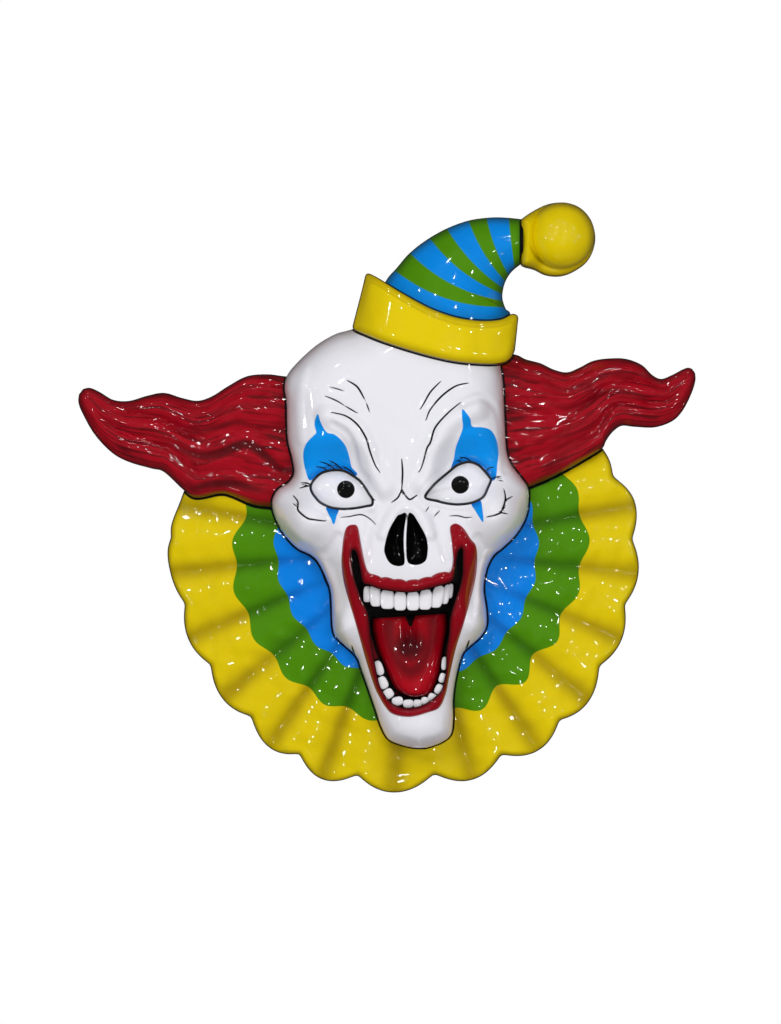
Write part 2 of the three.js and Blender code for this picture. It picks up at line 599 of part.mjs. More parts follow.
function plaque() {
  const nostrils = [leftNostril, rightNostril].map((line) => closedLine(line, facets.nostril));
  const mouth = closedLine(mouthLine, facets.mouth);
  const throat = closedLine(mouthLine.filter(([, up]) => up <= throatTop), facets.mouth / 2);
  const above = faceThickness * 2;
  const eyeHoles = eyes.map(({ at, size, turn }) => {
    const [halfWidth, halfHeight] = size.map((value) => value * eyeRim.hole);
    const oval = new THREE.EllipseCurve(0, 0, halfWidth, halfHeight).getPoints(facets.eye * 2).slice(1);
    const placed = oval.map((p) => p.rotateAround(new THREE.Vector2(), radians(turn)).add(asPoint(at)));
    return prism(placed, eyeballFront - eyeballThickness / 2, above);
  });
  const carvedFace = face()
    .subtract(union(eyeHoles))
    .subtract(prism(mouth, mouthCornerThickness, above))
    .subtract(prism(throat, mouthFloorThickness, above))
    .subtract(union(nostrils.map((line) => prism(line, nostrilFloorThickness, above))));
  const head = union([carvedFace, ...eyes.flatMap(eye), lips(), tongue(), ...teeth()]);
  const hair = union([hairWing(leftHairBottom, leftHairTop), hairWing(rightHairBottom, rightHairTop)]);
  const hat = union([hatBrim(), hatTail(), ...bobble()]);
  const hangers = [-keyholeSpacing / 2, keyholeSpacing / 2].flatMap(keyholeCutters);
  return union([ruff(), hair, head, hat]).subtract(wallSide()).subtract(union(hangers));
}

function meshOf(solid) {
  const { vertProperties, triVerts } = solid.getMesh();
  const geometry = new THREE.BufferGeometry();
  geometry.setAttribute("position", new THREE.BufferAttribute(vertProperties, 3));
  geometry.setIndex(new THREE.BufferAttribute(triVerts, 1));
  geometry.computeVertexNormals();
  return geometry;
}

const glossPaint = new THREE.MeshStandardMaterial({ color: 0xe2e0e8, roughness: 0.2, metalness: 0 });
const clownPlaque = new THREE.Mesh(meshOf(plaque()), glossPaint);
clownPlaque.name = "clown_wall_plaque";

const part = new THREE.Group();
part.add(clownPlaque);

export default part;
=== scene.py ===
import math
import bpy
import numpy as np
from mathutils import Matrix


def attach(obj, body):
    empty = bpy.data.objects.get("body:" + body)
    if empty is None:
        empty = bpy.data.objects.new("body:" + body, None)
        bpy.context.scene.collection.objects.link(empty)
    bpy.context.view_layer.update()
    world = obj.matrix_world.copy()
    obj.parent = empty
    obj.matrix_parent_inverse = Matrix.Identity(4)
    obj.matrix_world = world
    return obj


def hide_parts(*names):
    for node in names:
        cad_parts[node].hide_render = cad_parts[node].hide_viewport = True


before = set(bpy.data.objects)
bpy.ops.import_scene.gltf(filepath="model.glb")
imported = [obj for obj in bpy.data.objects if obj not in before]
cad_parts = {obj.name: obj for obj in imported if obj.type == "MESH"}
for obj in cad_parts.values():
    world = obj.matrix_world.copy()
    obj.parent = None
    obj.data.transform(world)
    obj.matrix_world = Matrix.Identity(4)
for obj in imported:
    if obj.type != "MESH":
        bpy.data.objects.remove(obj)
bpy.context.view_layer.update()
print("frame loaded")

# Outlines are [right, up] in squares of the part's drawing, depths are millimetres in front of the wall
drawing = {"width": 1.2, "squares": 621, "reach": 60}
square = drawing["width"] / drawing["squares"]
mm = 0.001
backing = 0.006  # pieces reach this far past the wall, until the back is cut flat
weld = 0.00001  # points closer than this are one


# Shapes of numbers
def clamp01(value):
    return np.clip(value, 0.0, 1.0)


def smooth(value, low, high):
    share = clamp01((value - low) / (high - low))
    return share * share * (3 - 2 * share)


def mix(low, high, share):
    return low + (high - low) * share


def quarterRound(share):
    return np.sqrt(1 - (1 - clamp01(share)) ** 2)


def softBump(share):
    return np.where(share < 1, (1 - np.minimum(share, 1) ** 2) ** 2, 0.0)


def swell(value, at, spread):
    return np.exp(-(((value - at) / spread) ** 2))


def lengthOf(vectors):
    return np.hypot(vectors[..., 0], vectors[..., 1])


# Lines and outlines
def smoothLine(points, closed=False, steps=8):
    points = np.array(points, float)
    if closed:
        ring = np.concatenate([points[-1:], points, points[:2]])
    else:
        ring = np.concatenate([points[:1], points, points[-1:]])
    t = np.linspace(0, 1, steps, endpoint=False)[:, None]
    spans = []
    for a, b, c, d in zip(ring[:-3], ring[1:-2], ring[2:-1], ring[3:]):
        out, back = (c - a) / 2, (d - b) / 2
        spans.append(((2 * (b - c) + out + back) * t + (3 * (c - b) - 2 * out - back)) * t ** 2 + out * t + b)
    return np.concatenate(spans if closed else spans + [points[-1:]])


def outlineBetween(low, high):
    # the closed outline between two sides that run the same way
    return np.vstack([smoothLine(low), smoothLine(high)[::-1]])


def walkedLengths(line):
    return np.concatenate([[0], np.cumsum(lengthOf(np.diff(line, axis=0)))])


def alongLine(line, shares):
    lengths = walkedLengths(line)
    at = shares * lengths[-1]
    return np.stack([np.interp(at, lengths, line[:, 0]), np.interp(at, lengths, line[:, 1])], axis=-1)


def toSegment(points, start, end):
    # how far along a segment each point lies, from 0 to 1, and its distance to the segment
    along, away = end - start, points - start
    share = clamp01((away @ along) / max(along @ along, 1e-12))
    return share, np.hypot(away[:, 0] - share * along[0], away[:, 1] - share * along[1])


def gapTo(points, line, reach=drawing["reach"]):
    # least distance to a line, and its whole reach where it is farther than that
    flat = points.reshape(-1, 2)
    near = np.all((flat > line.min(axis=0) - reach) & (flat < line.max(axis=0) + reach), axis=1)
    chosen = flat[near]
    best = np.full(len(chosen), float(reach))
    for start, end in zip(line[:-1], line[1:]):
        best = np.minimum(best, toSegment(chosen, start, end)[1])
    least = np.full(len(flat), float(reach))
    least[near] = best
    return least.reshape(points.shape[:-1])


def isInside(points, outline):
    right, up = points[..., 0], points[..., 1]
    inside = np.zeros(right.shape, bool)
    for (x0, y0), (x1, y1) in zip(outline, np.roll(outline, -1, axis=0)):
        if y0 != y1:
            inside ^= ((y0 > up) != (y1 > up)) & (right < (x1 - x0) * (up - y0) / (y1 - y0) + x0)
    return inside


def signedGap(points, outline, reach=drawing["reach"]):
    # distance to a closed outline, negative inside it
    gap = gapTo(points, np.vstack([outline, outline[:1]]), reach)
    return np.where(isInside(points, outline), -gap, gap)


def offsetOutline(outline, distance):
    # a closed outline drawn wider by a distance, or narrower
    way = np.roll(outline, -1, axis=0) - np.roll(outline, 1, axis=0)
    way /= lengthOf(way)[:, None]
    side = np.stack([way[:, 1], -way[:, 0]], axis=1)
    if not isInside(outline[:1] + side[:1] * 0.5, outline)[0]:
        side = -side
    return outline - side * distance


def ovalShare(points, at, size, turn):
    angle = math.radians(turn)
    right, up = points[..., 0] - at[0], points[..., 1] - at[1]
    return np.hypot(
        (right * math.cos(angle) + up * math.sin(angle)) / size[0],
        (up * math.cos(angle) - right * math.sin(angle)) / size[1],
    )


# Outlines
faceLeft = [
    (-33, 202), (-52, 191), (-69, 186), (-88, 175), (-106, 159), (-117.5, 145), (-120.5, 132), (-118.5, 116),
    (-117.5, 82), (-113, 62), (-111, 47), (-116.5, 37.5), (-127.5, 30), (-133, 18), (-130, 3), (-121, -14),
    (-108, -28), (-95, -34.5), (-87, -42), (-79, -58), (-74, -74), (-72, -109), (-66, -120), (-49, -136),
    (-43, -151), (-30, -188), (-23.5, -207), (-16.5, -219), (-5, -224.5), (7, -227.5),
]
faceRight = [
    (95, 202), (96, 191), (96.5, 186), (95.5, 156), (98, 137), (100, 93), (101.5, 70), (106, 56), (116.5, 42),
    (123, 32), (123.5, 18), (120.5, 2), (111, -14.5), (98, -27.5), (88, -36), (81, -51), (78.5, -70), (81, -88),
    (81.5, -105), (75.5, -116.5), (65, -126), (57, -135), (51, -157), (48, -179), (48, -200), (45.5, -215),
    (35, -223), (20, -228),
]
leftHairTop = [
    (-96, 143), (-120, 144), (-138, 146), (-158.5, 144), (-177.5, 134), (-193.5, 124), (-208, 119.5),
    (-224, 122.5), (-241.5, 127.5), (-259, 124.5), (-276.5, 119.5), (-292.5, 120.5), (-306.5, 128.5),
    (-316, 132.6), (-323, 131.3),
]
leftHairBottom = [
    (-96, 12), (-122, 8), (-134.5, 12), (-152, 14.5), (-173, 23.5), (-185.5, 26), (-209.5, 22), (-222, 30),
    (-241.5, 48), (-254, 51.5), (-276.5, 58), (-294, 67.5), (-311.5, 86), (-323.5, 107), (-327.6, 118),
    (-327, 126),
]
rightHairTop = [
    (80, 170), (109.5, 166), (121, 161), (136, 157), (148.5, 151), (162, 148), (174.5, 152.5), (188.5, 159.5),
    (205, 162), (222, 161.5), (237.5, 155.5), (248, 145.5), (257, 141.5), (268, 145.5), (278.5, 151),
    (284, 152.8), (288, 151.6),
]
rightHairBottom = [
    (80, 22), (112, 26), (124, 32), (144, 40.5), (162, 50), (182, 61.5), (197.5, 71.5), (201.5, 79), (208, 88),
    (217.5, 94.5), (231, 93.5), (251, 93), (268, 99), (278.5, 109.5), (287.5, 127),
    (291.4, 140), (291, 147.5),
]
brimTop = [
    (-40.5, 239), (-39.6, 243.6), (-36.5, 245.6), (-28, 241.5), (-8, 229), (7.5, 220), (28, 209.5), (52, 201.5),
    (76, 198.5), (95, 200), (105.5, 205), (110.5, 204.8), (112.8, 202), (112.6, 198),
]
brimBottom = [
    (-52.4, 193), (-50, 188.8), (-39, 183.5), (-22, 176.5), (4, 168), (31.5, 160.5), (55.5, 156), (83, 154.5),
    (98, 156.4), (105.5, 161), (109.5, 169),
]
tailOuter = [
    (-30, 212), (-19.5, 238.5), (-8, 252.5), (4, 266.5), (21, 280), (42, 292), (64, 300), (85, 303),
    (100.5, 303), (118, 301.3),
]
tailInner = [
    (106, 184), (105.5, 206), (101, 211), (97.5, 223), (100, 237), (107, 249), (118, 258),
]
bobbleCollar = [
    (115.5, 268), (115.5, 290), (116, 299.5), (119, 303), (129.5, 310), (141.5, 316), (155.5, 318.3),
    (171, 315.5), (183, 306), (190, 290.5), (190, 275), (183, 259.5), (169, 249), (155.5, 244.5),
    (141.5, 245.5), (129.5, 251), (119, 254), (116, 257.5),
]
lipLine = [
    (3, -60), (15, -58.5), (24, -56.5), (38, -51.5), (45, -51), (47.5, -38), (46, -20), (44.5, -9),
    (46, -5), (51, -3.5), (58, -8), (65, -18.5), (70.5, -26), (71.8, -41), (70, -59), (66, -76), (57, -107.5),
    (51, -126.5), (46.5, -145.5), (43.5, -160), (40.5, -174), (34, -187), (21.5, -192), (4.5, -196),
    (-12, -193.5), (-20, -186), (-26, -176), (-31, -165), (-39.5, -138), (-49, -103.5), (-59, -70),
    (-62, -56), (-63.3, -42), (-62.5, -28), (-61, -16), (-58, -7), (-52, -4.5), (-47, -7), (-44, -22),
    (-40, -42), (-36, -52), (-28, -55.5), (-15, -58),
]
mouthLine = [
    (1, -71.5), (13, -70.5), (25, -67.5), (36, -64.5), (45, -61.5), (48.5, -56), (50, -46), (51.5, -36),
    (53, -30.5), (56, -27.5), (57.3, -30), (57.5, -38), (57.5, -46), (57.2, -54), (54.8, -66), (50, -80),
    (45.2, -97), (43.9, -114), (41.5, -130), (41.3, -148), (39.5, -160), (35, -172), (19, -184),
    (3, -187.5), (-10, -184.5), (-18, -178), (-23, -170), (-27, -160), (-33.6, -124), (-37, -94), (-44, -78),
    (-50, -60), (-52.5, -48), (-53.2, -40), (-53.4, -34), (-52.8, -30.5), (-51.5, -29.5), (-49, -31),
    (-46.5, -38), (-44, -52), (-41.5, -62), (-35, -64.5), (-22, -69),
]
tongueLeft = [
    (-33, -97), (-34, -106), (-32, -117), (-28.5, -129), (-21, -147), (-12.7, -165.8), (-5, -173.5),
    (4, -177.5),
]
tongueRight = [
    (42.5, -92), (42.8, -108), (40.5, -121.5), (36.5, -144), (35, -153.5), (28, -171.5), (21.5, -176.2),
    (10, -178),
]
leftNostril = [
    (1, 6), (-4.5, 5.5), (-8.5, 3), (-16.2, -11), (-20.5, -28), (-19, -36), (-15.5, -42), (-10.5, -45),
    (-4.5, -45.4), (-0.6, -42), (-1.4, -26), (-1.2, -11),
]
rightNostril = [
    (3.5, 6), (7.5, 5.8), (11, 1), (19.5, -14), (22.3, -24), (22, -34), (20, -40.5), (14, -44), (6.5, -44),
    (2.2, -40), (1.2, -26), (1.6, -9),
]
leftEye = [
    (-94, 32.5), (-92.5, 37.5), (-88, 43), (-82.5, 47), (-75, 49.2), (-66, 49.7), (-58.5, 48), (-51, 43.5),
    (-45, 39), (-40, 32.5), (-36, 26), (-32.5, 20.5), (-33, 15.2), (-39, 13.7), (-48.5, 12), (-59, 11),
    (-69.5, 11.7), (-77, 13.7), (-84.5, 17.7), (-89, 22.5), (-92.5, 27.5),
]
rightEye = [
    (20, 22.5), (26, 32), (33, 39.2), (43, 47.5), (51, 54), (58.5, 57), (65, 57.7), (72.5, 55), (78.5, 49.5),
    (83.7, 43), (85.3, 39.5), (82, 31.5), (78.7, 24.5), (74, 20.5), (65.3, 17), (53, 15.5), (41.5, 16.6),
    (31.5, 19),
]
eyePaint = {
    "left blue": [
        (-86.6, 105.5), (-84.3, 98.5), (-81, 91.5), (-77, 86.7), (-70.5, 85.2), (-64, 80), (-58.5, 72.5),
        (-55, 61), (-53, 52.5), (-47.5, 46.2), (-51, 43.5), (-58.5, 48), (-66, 49.7), (-75, 49.2), (-82.5, 47),
        (-88, 43), (-95, 39.5), (-98.5, 47), (-101, 58), (-101.2, 68), (-98, 76.5), (-91, 84), (-88.3, 87),
        (-90, 94), (-89.4, 100),
    ],
    "right blue": [
        (56.8, 110.2), (61.5, 105.5), (65, 100), (66.8, 93), (77, 92.2), (85.5, 89.2), (91, 80), (93.2, 68),
        (92, 56), (90.3, 42), (85.3, 39.5), (78.5, 49.5), (72.5, 55), (65, 57.7), (58.5, 57), (51, 54),
        (45.5, 50.5), (48.5, 61), (50.3, 72), (54, 82), (57.3, 92), (56.5, 101),
    ],
    "left tear": [(-78, 13), (-66.2, 11.5), (-68, 4), (-70.8, -5), (-74, 2), (-76.7, 7)],
    "right tear": [(65.8, 16.5), (74.5, 20), (77, 9), (77.6, -2.3), (73, 3.5), (69.5, 9.5)],
}
# Brush strokes of the face, each with its greatest width: they taper to their ends
brushStrokes = [
    (1.5, [(-74.2, 132.1), (-68, 130.5), (-61.4, 128.3)]),
    (2.2, [(-57, 138.4), (-47.4, 132.1), (-40.3, 120)]),
    (1.6, [(-38.4, 115.8), (-35.4, 107.8)]),
    (1.7, [(-79, 123.1), (-68.5, 118.7), (-60.8, 114)]),
    (1.7, [(-59, 113), (-47.8, 106.3)]),
    (2.2, [(-72.7, 106.8), (-59, 103.4), (-47.4, 94.8), (-38.8, 81.4), (-35.7, 70.9), (-32.9, 62.5),
           (-29.4, 54), (-25.2, 47.7)]),
    (2.0, [(34.8, 137.2), (25.3, 127.3), (18.6, 115.8), (15.3, 110.5)]),
    (2.2, [(62, 136), (50.2, 133), (36.8, 123.5), (25.3, 110.1), (20.9, 99.6)]),
    (2.2, [(54.6, 116.4), (42.5, 106.3), (30, 92), (25.3, 77.6), (21.8, 71.6), (19, 61.1), (16.6, 53.3),
           (14.1, 48.1)]),
    (2.2, [(-3.4, 60), (-2.5, 47), (-3.4, 30.7)]),
    (2.0, [(-3.4, 30.7), (-7, 22.5), (-12.9, 17.9)]),
    (2.2, [(-3.4, 30.7), (1.4, 23), (5.2, 20.5), (12, 24.9)]),
    (2.2, [(-110.8, 23.9), (-106.6, 18.3), (-106.6, 13.4), (-105.9, 9.1), (-97.5, 2.1), (-90.4, 0.4),
           (-79.2, -1)]),
    (1.4, [(-110.8, 16.2), (-107.3, 13.4)]),
    (1.5, [(-63.1, 2.8), (-55.4, 3.5), (-46.3, 5.3), (-40.6, 4.6), (-34.3, 0.7), (-29.4, -4.2)]),
    (1.5, [(45, 4.2), (52.7, 4.2), (59.7, 2.5), (65.3, 2.8)]),
    (2.2, [(98.3, 30.2), (99.4, 25.3), (99.4, 19.7), (97.6, 13.4), (94.8, 7.7), (89.2, 4.9), (81.5, 3.2)]),
    (1.6, [(99.7, 19.7), (106, 23.2)]),
    (1.6, [(94.8, 9.1), (99, 12.7)]),
    (1.6, [(94.8, 7.4), (101.1, 6.3)]),
    (1.4, [(23.2, 12.7), (20.8, 8.8)]),
    (1.4, [(33.8, 8.8), (29.2, 3.9)]),
    (2.4, [(-53, -126), (-50, -136), (-47, -141)]),
    (2.4, [(64, -120), (62, -126), (60, -132)]),
    (1.8, [(-104.5, 31.6), (-99, 33.5), (-94, 33.7)]),
    (1.8, [(-103, 37), (-97, 36.6), (-93, 34)]),
    (1.6, [(85, 40.7), (90, 42.5), (94.8, 43.5)]),
    (1.6, [(93.4, 39.7), (96.9, 38.6)]),
    (1.5, [(-61, 53), (-55.5, 50), (-50, 45)]),
    (1.6, [(-75, 59), (-68.5, 55.5), (-62, 49.5)]),
    (1.6, [(-84, 58), (-76, 55), (-68.5, 49.5)]),
    (1.5, [(-88, 53), (-82, 52), (-76, 48.5)]),
    (2.2, [(-38, 27), (-34, 22.5), (-30.5, 20)]),
    (1.5, [(55, 62.5), (61, 61.5), (67, 57.5)]),
    (1.4, [(50.5, 58.6), (54, 58.8), (58, 56.5)]),
    (1.4, [(88, 52.5), (84, 51.8), (80, 48.5)]),
]
brushStrokes = [(width, smoothLine(points)) for width, points in brushStrokes]


# Making bodies from smooth sheets
def deselectAll():
    if bpy.context.mode != "OBJECT":
        bpy.ops.object.mode_set(mode="OBJECT")
    bpy.ops.object.select_all(action="DESELECT")


def paintedSlot(piece, paint):
    piece.data.materials.clear()
    piece.data.materials.append(paint)


def readVectors(items, key):
    flat = np.empty(len(items) * 3)
    items.foreach_get(key, flat)
    return flat.reshape(-1, 3)


def closeSheet(plane, ring=False):
    # the open edge of the mesh being edited is drawn to a plane along the wall and closed there
    bpy.ops.mesh.select_all(action="DESELECT")
    bpy.ops.mesh.select_mode(type="EDGE")
    bpy.ops.mesh.select_non_manifold(
        use_wire=False, use_multi_face=False, use_non_contiguous=False, use_verts=False)
    bpy.ops.mesh.extrude_region_move()
    bpy.ops.transform.resize(value=(1, 0, 1), center_override=(0, plane, 0))
    if ring:
        bpy.ops.mesh.bridge_edge_loops()
    else:
        bpy.ops.mesh.edge_face_add()
    bpy.ops.mesh.select_all(action="SELECT")
    bpy.ops.mesh.normals_make_consistent(inside=False)
    bpy.ops.object.mode_set(mode="OBJECT")


def sheetBody(name, spots, depth, paint, ring=False, plane=backing):
    # a grid laid on the sheet's points and closed at a plane, which is past the wall
    rows, columns = depth.shape
    deselectAll()
    bpy.ops.mesh.primitive_grid_add(x_subdivisions=columns - 1, y_subdivisions=rows - 1, size=2)
    piece = bpy.context.object
    piece.name = name
    flat = readVectors(piece.data.vertices, "co")
    column = np.rint((flat[:, 0] + 1) / 2 * (columns - 1)).astype(int)
    row = np.rint((flat[:, 1] + 1) / 2 * (rows - 1)).astype(int)
    spot = spots[row, column]
    placed = np.stack([spot[:, 0] * square, -depth[row, column] * mm, spot[:, 1] * square], axis=1)
    piece.data.vertices.foreach_set("co", placed.reshape(-1))
    piece.data.update()
    bpy.ops.object.mode_set(mode="EDIT")
    bpy.ops.mesh.select_all(action="SELECT")
    bpy.ops.mesh.remove_doubles(threshold=weld)
    closeSheet(plane, ring)
    paintedSlot(piece, paint)
    return piece


def sidesOf(low, high, rows):
    # two sides at even shares of their lengths, and the shares
    shares = np.linspace(0, 1, rows + 1)
    return alongLine(smoothLine(low), shares), alongLine(smoothLine(high), shares), shares[:, None]


def stripSpots(edgeA, edgeB, columns, crowding=0.35):
    # points between two edges, closer together near them
    share = np.linspace(0, 1, columns + 1)
    t = share - crowding * np.sin(2 * np.pi * share) / (2 * np.pi)
    spots = edgeA[:, None] + (edgeB - edgeA)[:, None] * t[None, :, None]
    return spots, np.broadcast_to(t, spots.shape[:2]), lengthOf(edgeB - edgeA)[:, None]


def discSpots(outline, middle, shares):
    # rings from an outline to its middle: rows go round, columns go in
    around = np.vstack([outline, outline[:1]])
    return np.array(middle) + (around[:, None] - middle) * np.array(shares)[None, :, None]


def combine(piece, other, how):
    deselectAll()
    bpy.context.view_layer.objects.active = piece
    piece.select_set(True)
    change = piece.modifiers.new(how.lower(), "BOOLEAN")
    change.operation = how
    change.solver = "MANIFOLD"
    change.material_mode = "TRANSFER"
    change.object = other
    bpy.ops.object.modifier_apply(modifier=change.name)
    bpy.data.objects.remove(other, do_unlink=True)


def hollowOut(piece, name, outline, floorDepth, middle=None, bowl=0):
    # an outline is cut down to a floor, which may be dished
    shares = np.array([1, 0.93, 0.8, 0.6, 0.4, 0.2, 0])
    spots = discSpots(outline, outline.mean(axis=0) if middle is None else middle, shares)
    floor = np.broadcast_to(floorDepth + bowl * shares ** 2, spots.shape[:2])
    cutter = sheetBody(name, spots, floor, paints["inside"], plane=-2 * faceForm["depth"] * mm)
    combine(piece, cutter, "DIFFERENCE")


# Paints, made first so that each body can carry its own, and mixed at the end
paintNames = ["face", "inside", "eye", "tooth", "tongue", "hair", "tail", "yellow", "ruff", "back"]
paints = {name: bpy.data.materials.new(name + "Paint") for name in paintNames}

# The face: rounded from its edge to its crown, with smooth rises and hollows in squares
faceForm = {
    "edgeDepth": 92, "depth": 186, "chinDepth": 142, "chinFrom": -40, "chinTo": -200, "shoulder": 46,
    "roundness": 2.2, "rows": 258, "columns": 182, "top": 192, "bottom": -227.5, "carvingFade": 12,
}
faceCarving = [
    ((-10, 118), (112, 92), 0, 9), ((-66, 48), (44, 36), -12, -17), ((58, 52), (42, 36), 14, -17),
    ((-60, 30), (42, 27), -10, -8), ((54, 36), (42, 27), 16, -8), ((-3, 46), (26, 46), 0, 5),
    ((-97, -3), (36, 34), 0, 17), ((92, 4), (36, 34), 0, 17), ((2, -34), (54, 52), 0, 7),
    ((-76, -66), (22, 44), 0, -9), ((72, -66), (20, 44), 0, -9), ((-62, -108), (20, 24), 0, 6),
    ((72, -104), (20, 24), 0, 6), ((14, -208), (46, 32), 0, 9),
]
faceRidges = [
    ([(-78, 104), (-56, 94), (-42, 76), (-34, 50), (-22, 32)], 15, 7),
    ([(72, 110), (46, 98), (33, 78), (26, 52), (18, 36)], 15, 7),
    ([(-22, -14), (-9, 10), (11, 10), (25, -14)], 9, 4),
    ([(-84, -46), (-74, -92)], 8, 5),
    ([(80, -46), (74, -92)], 8, 5),
    ([(-108, -26), (-92, -33), (-76, -30), (-66, -16)], 7, -3),
    ([(112, -14), (96, -28), (82, -30), (72, -18)], 7, -3),
    ([(-72, 96), (-58, 87), (-51, 73), (-47, 55), (-39, 42)], 5, -2.2),
    ([(57, 115), (75, 122), (92, 108), (98, 80), (100, 50)], 6, -2.6),
    ([(27, 20), (33, -10), (42, -40)], 7, -2.2),
    ([(-33, 5), (-38, -18), (-40, -40)], 7, -2.2),
    ([(88, -30), (82, -52), (79, -76)], 3, 1.7),
    ([(81, -32), (75, -56), (74, -80)], 3, 1.7),
    ([(-84, -40), (-77, -62), (-76, -84)], 3, 1.5),
    ([(-100, 150), (-106, 120), (-104, 80)], 8, 1.6),
]
faceRidges = [(smoothLine(points), half, rise) for points, half, rise in faceRidges]
faceSides = [smoothLine(faceLeft), smoothLine(faceRight)]
faceOutline = outlineBetween(faceLeft, faceRight)
strokeGroove = {"half": 3.2, "depth": 0.55}


def faceDepth(points):
    edge = np.minimum(gapTo(points, faceSides[0]), gapTo(points, faceSides[1]))
    chin = smooth(points[..., 1], faceForm["chinFrom"], faceForm["chinTo"])
    power = faceForm["roundness"]
    rounded = (1 - (1 - clamp01(edge / faceForm["shoulder"])) ** power) ** (1 / power)
    carving = np.zeros(points.shape[:-1])
    for at, size, turn, rise in faceCarving:
        carving += rise * softBump(ovalShare(points, at, size, turn))
    for line, half, rise in faceRidges:
        carving += rise * softBump(gapTo(points, line, half) / half)
    groove = np.full(points.shape[:-1], strokeGroove["half"])
    for width, line in brushStrokes:
        groove = np.minimum(groove, gapTo(points, line, strokeGroove["half"]))
    carving -= strokeGroove["depth"] * softBump(groove / strokeGroove["half"])
    carving *= square / mm * smooth(edge, 0, faceForm["carvingFade"])
    return mix(faceForm["edgeDepth"], mix(faceForm["depth"], faceForm["chinDepth"], chin), rounded) + carving


def makeFace():
    heights = np.linspace(faceForm["top"], faceForm["bottom"], faceForm["rows"] + 1)
    edges = [np.stack([np.interp(-heights, -side[:, 1], side[:, 0]), heights], axis=1) for side in faceSides]
    spots, _, _ = stripSpots(*edges, faceForm["columns"])
    return sheetBody("face", spots, faceDepth(spots), paints["face"])


# The mouth: a deep throat, narrow slits at its corners, lips, teeth and tongue
mouthForm = {
    "floor": 92, "cornerFloor": 146, "nostrilFloor": 126, "nostrilBowl": 16, "throatTop": -59, "lipRise": 8,
    "lipInset": 0.5, "lipRings": 13,
}
# Scallops of the upper lip's upper line
scallops = {"from": -36, "to": 38, "low": -62, "high": -48, "count": 6, "height": 1.7, "roundness": 0.6}
toothForm = {
    "stand": 82, "growth": 1.4, "rowMiddle": 4, "rowHalf": 44, "endsLower": 0.25, "lowerStand": 0.42,
    "upperCorner": (2.9, 3.8), "lowerCorner": (2.8, 2.8), "points": 36,
}
toothProfile = [(1, -3.5), (0.985, -1.6), (0.95, -0.7), (0.85, 0), (0.6, 1.2), (0.3, 1.9), (0, 2.1)]
# Upper teeth: left, right, top, bottom and how far the top leans to the right
upperTeeth = [
    (-40.7, -34.4, -65.8, -81.6, 0.02), (-34.4, -24.9, -64.3, -85.9, -0.06),
    (-23.6, -11.5, -69.1, -88.3, -0.02), (-10.2, 0.5, -71.2, -89.7, 0),
    (2.4, 13.4, -70.9, -89.7, 0), (14.8, 25.8, -69.1, -89, 0.06),
    (27.3, 37.3, -65.3, -87.1, 0.18), (38.3, 43.5, -64.3, -83.5, 0.16), (43.5, 46.9, -63.4, -77.7, 0.1),
]
# Lower teeth: middle, width, height and turn in degrees
lowerTeeth = [
    ((-26, -147.6), 6.6, 14.6, 20), ((-22.2, -162.2), 8, 12.6, 27), ((-16.7, -173.2), 9, 9.6, 32),
    ((-7.6, -180.6), 9.5, 8.6, 12), ((3.2, -183), 9, 7.8, 3), ((12.5, -183), 6.8, 7.8, -4),
    ((19.9, -180.4), 6.6, 7.4, -12), ((27, -176.8), 6.6, 7.8, -24), ((33.7, -168.6), 6.2, 10, -28),
    ((37, -157.4), 4.6, 9.4, -18), ((39, -143), 3.6, 13, -6),
]


def toothOutline(middle, width, height, turn, lean, corner):
    # a rounded rectangle, squarer towards its end than towards the gum
    angle = np.linspace(0, 2 * np.pi, toothForm["points"], endpoint=False)
    cos, sin = np.cos(angle), np.sin(angle)
    power = 2 / np.where(sin > 0, *corner)
    right = (width / 2 + toothForm["growth"]) * np.sign(cos) * np.abs(cos) ** power
    up = (height + toothForm["growth"]) / 2 * np.sign(sin) * np.abs(sin) ** power
    right = right + lean * up
    tilt = math.radians(turn)
    return np.stack([
        middle[0] + right * math.cos(tilt) - up * math.sin(tilt),
        middle[1] + right * math.sin(tilt) + up * math.cos(tilt),
    ], axis=1)


teeth = []  # outline, middle and how far it stands out of the throat
for left, right, top, bottom, lean in upperTeeth:
    middle = ((left + right) / 2, (top + bottom) / 2)
    bow = ((middle[0] - toothForm["rowMiddle"]) / toothForm["rowHalf"]) ** 2
    outline = toothOutline(middle, right - left, top - bottom, 0, lean, toothForm["upperCorner"])
    teeth.append((outline, middle, toothForm["stand"] * (1 - toothForm["endsLower"] * bow)))
for middle, width, height, turn in lowerTeeth:
    outline = toothOutline(middle, width, height, turn, 0, toothForm["lowerCorner"])
    teeth.append((outline, middle, toothForm["stand"] * toothForm["lowerStand"]))


def makeTeeth():
    shares, crown = np.transpose(toothProfile)
    made = []
    for index, (outline, middle, stand) in enumerate(teeth):
        spots = discSpots(outline, middle, shares)
        depth = np.broadcast_to(mouthForm["floor"] + stand + crown, spots.shape[:2])
        made.append(sheetBody(f"tooth{index}", spots, depth, paints["tooth"]))
    return made


def lipOutline():
    # the outer line of the lips, with small bumps along its top
    outer = smoothLine(lipLine, True)
    right, up = outer.T
    along = (right - scallops["from"]) / (scallops["to"] - scallops["from"])
    here = (along > 0) & (along < 1) & (up > scallops["low"]) & (up < scallops["high"])
    bump = np.abs(np.sin(np.pi * scallops["count"] * along)) ** scallops["roundness"] - 0.5
    outer[:, 1] += np.where(here, scallops["height"] * bump, 0)
    return outer


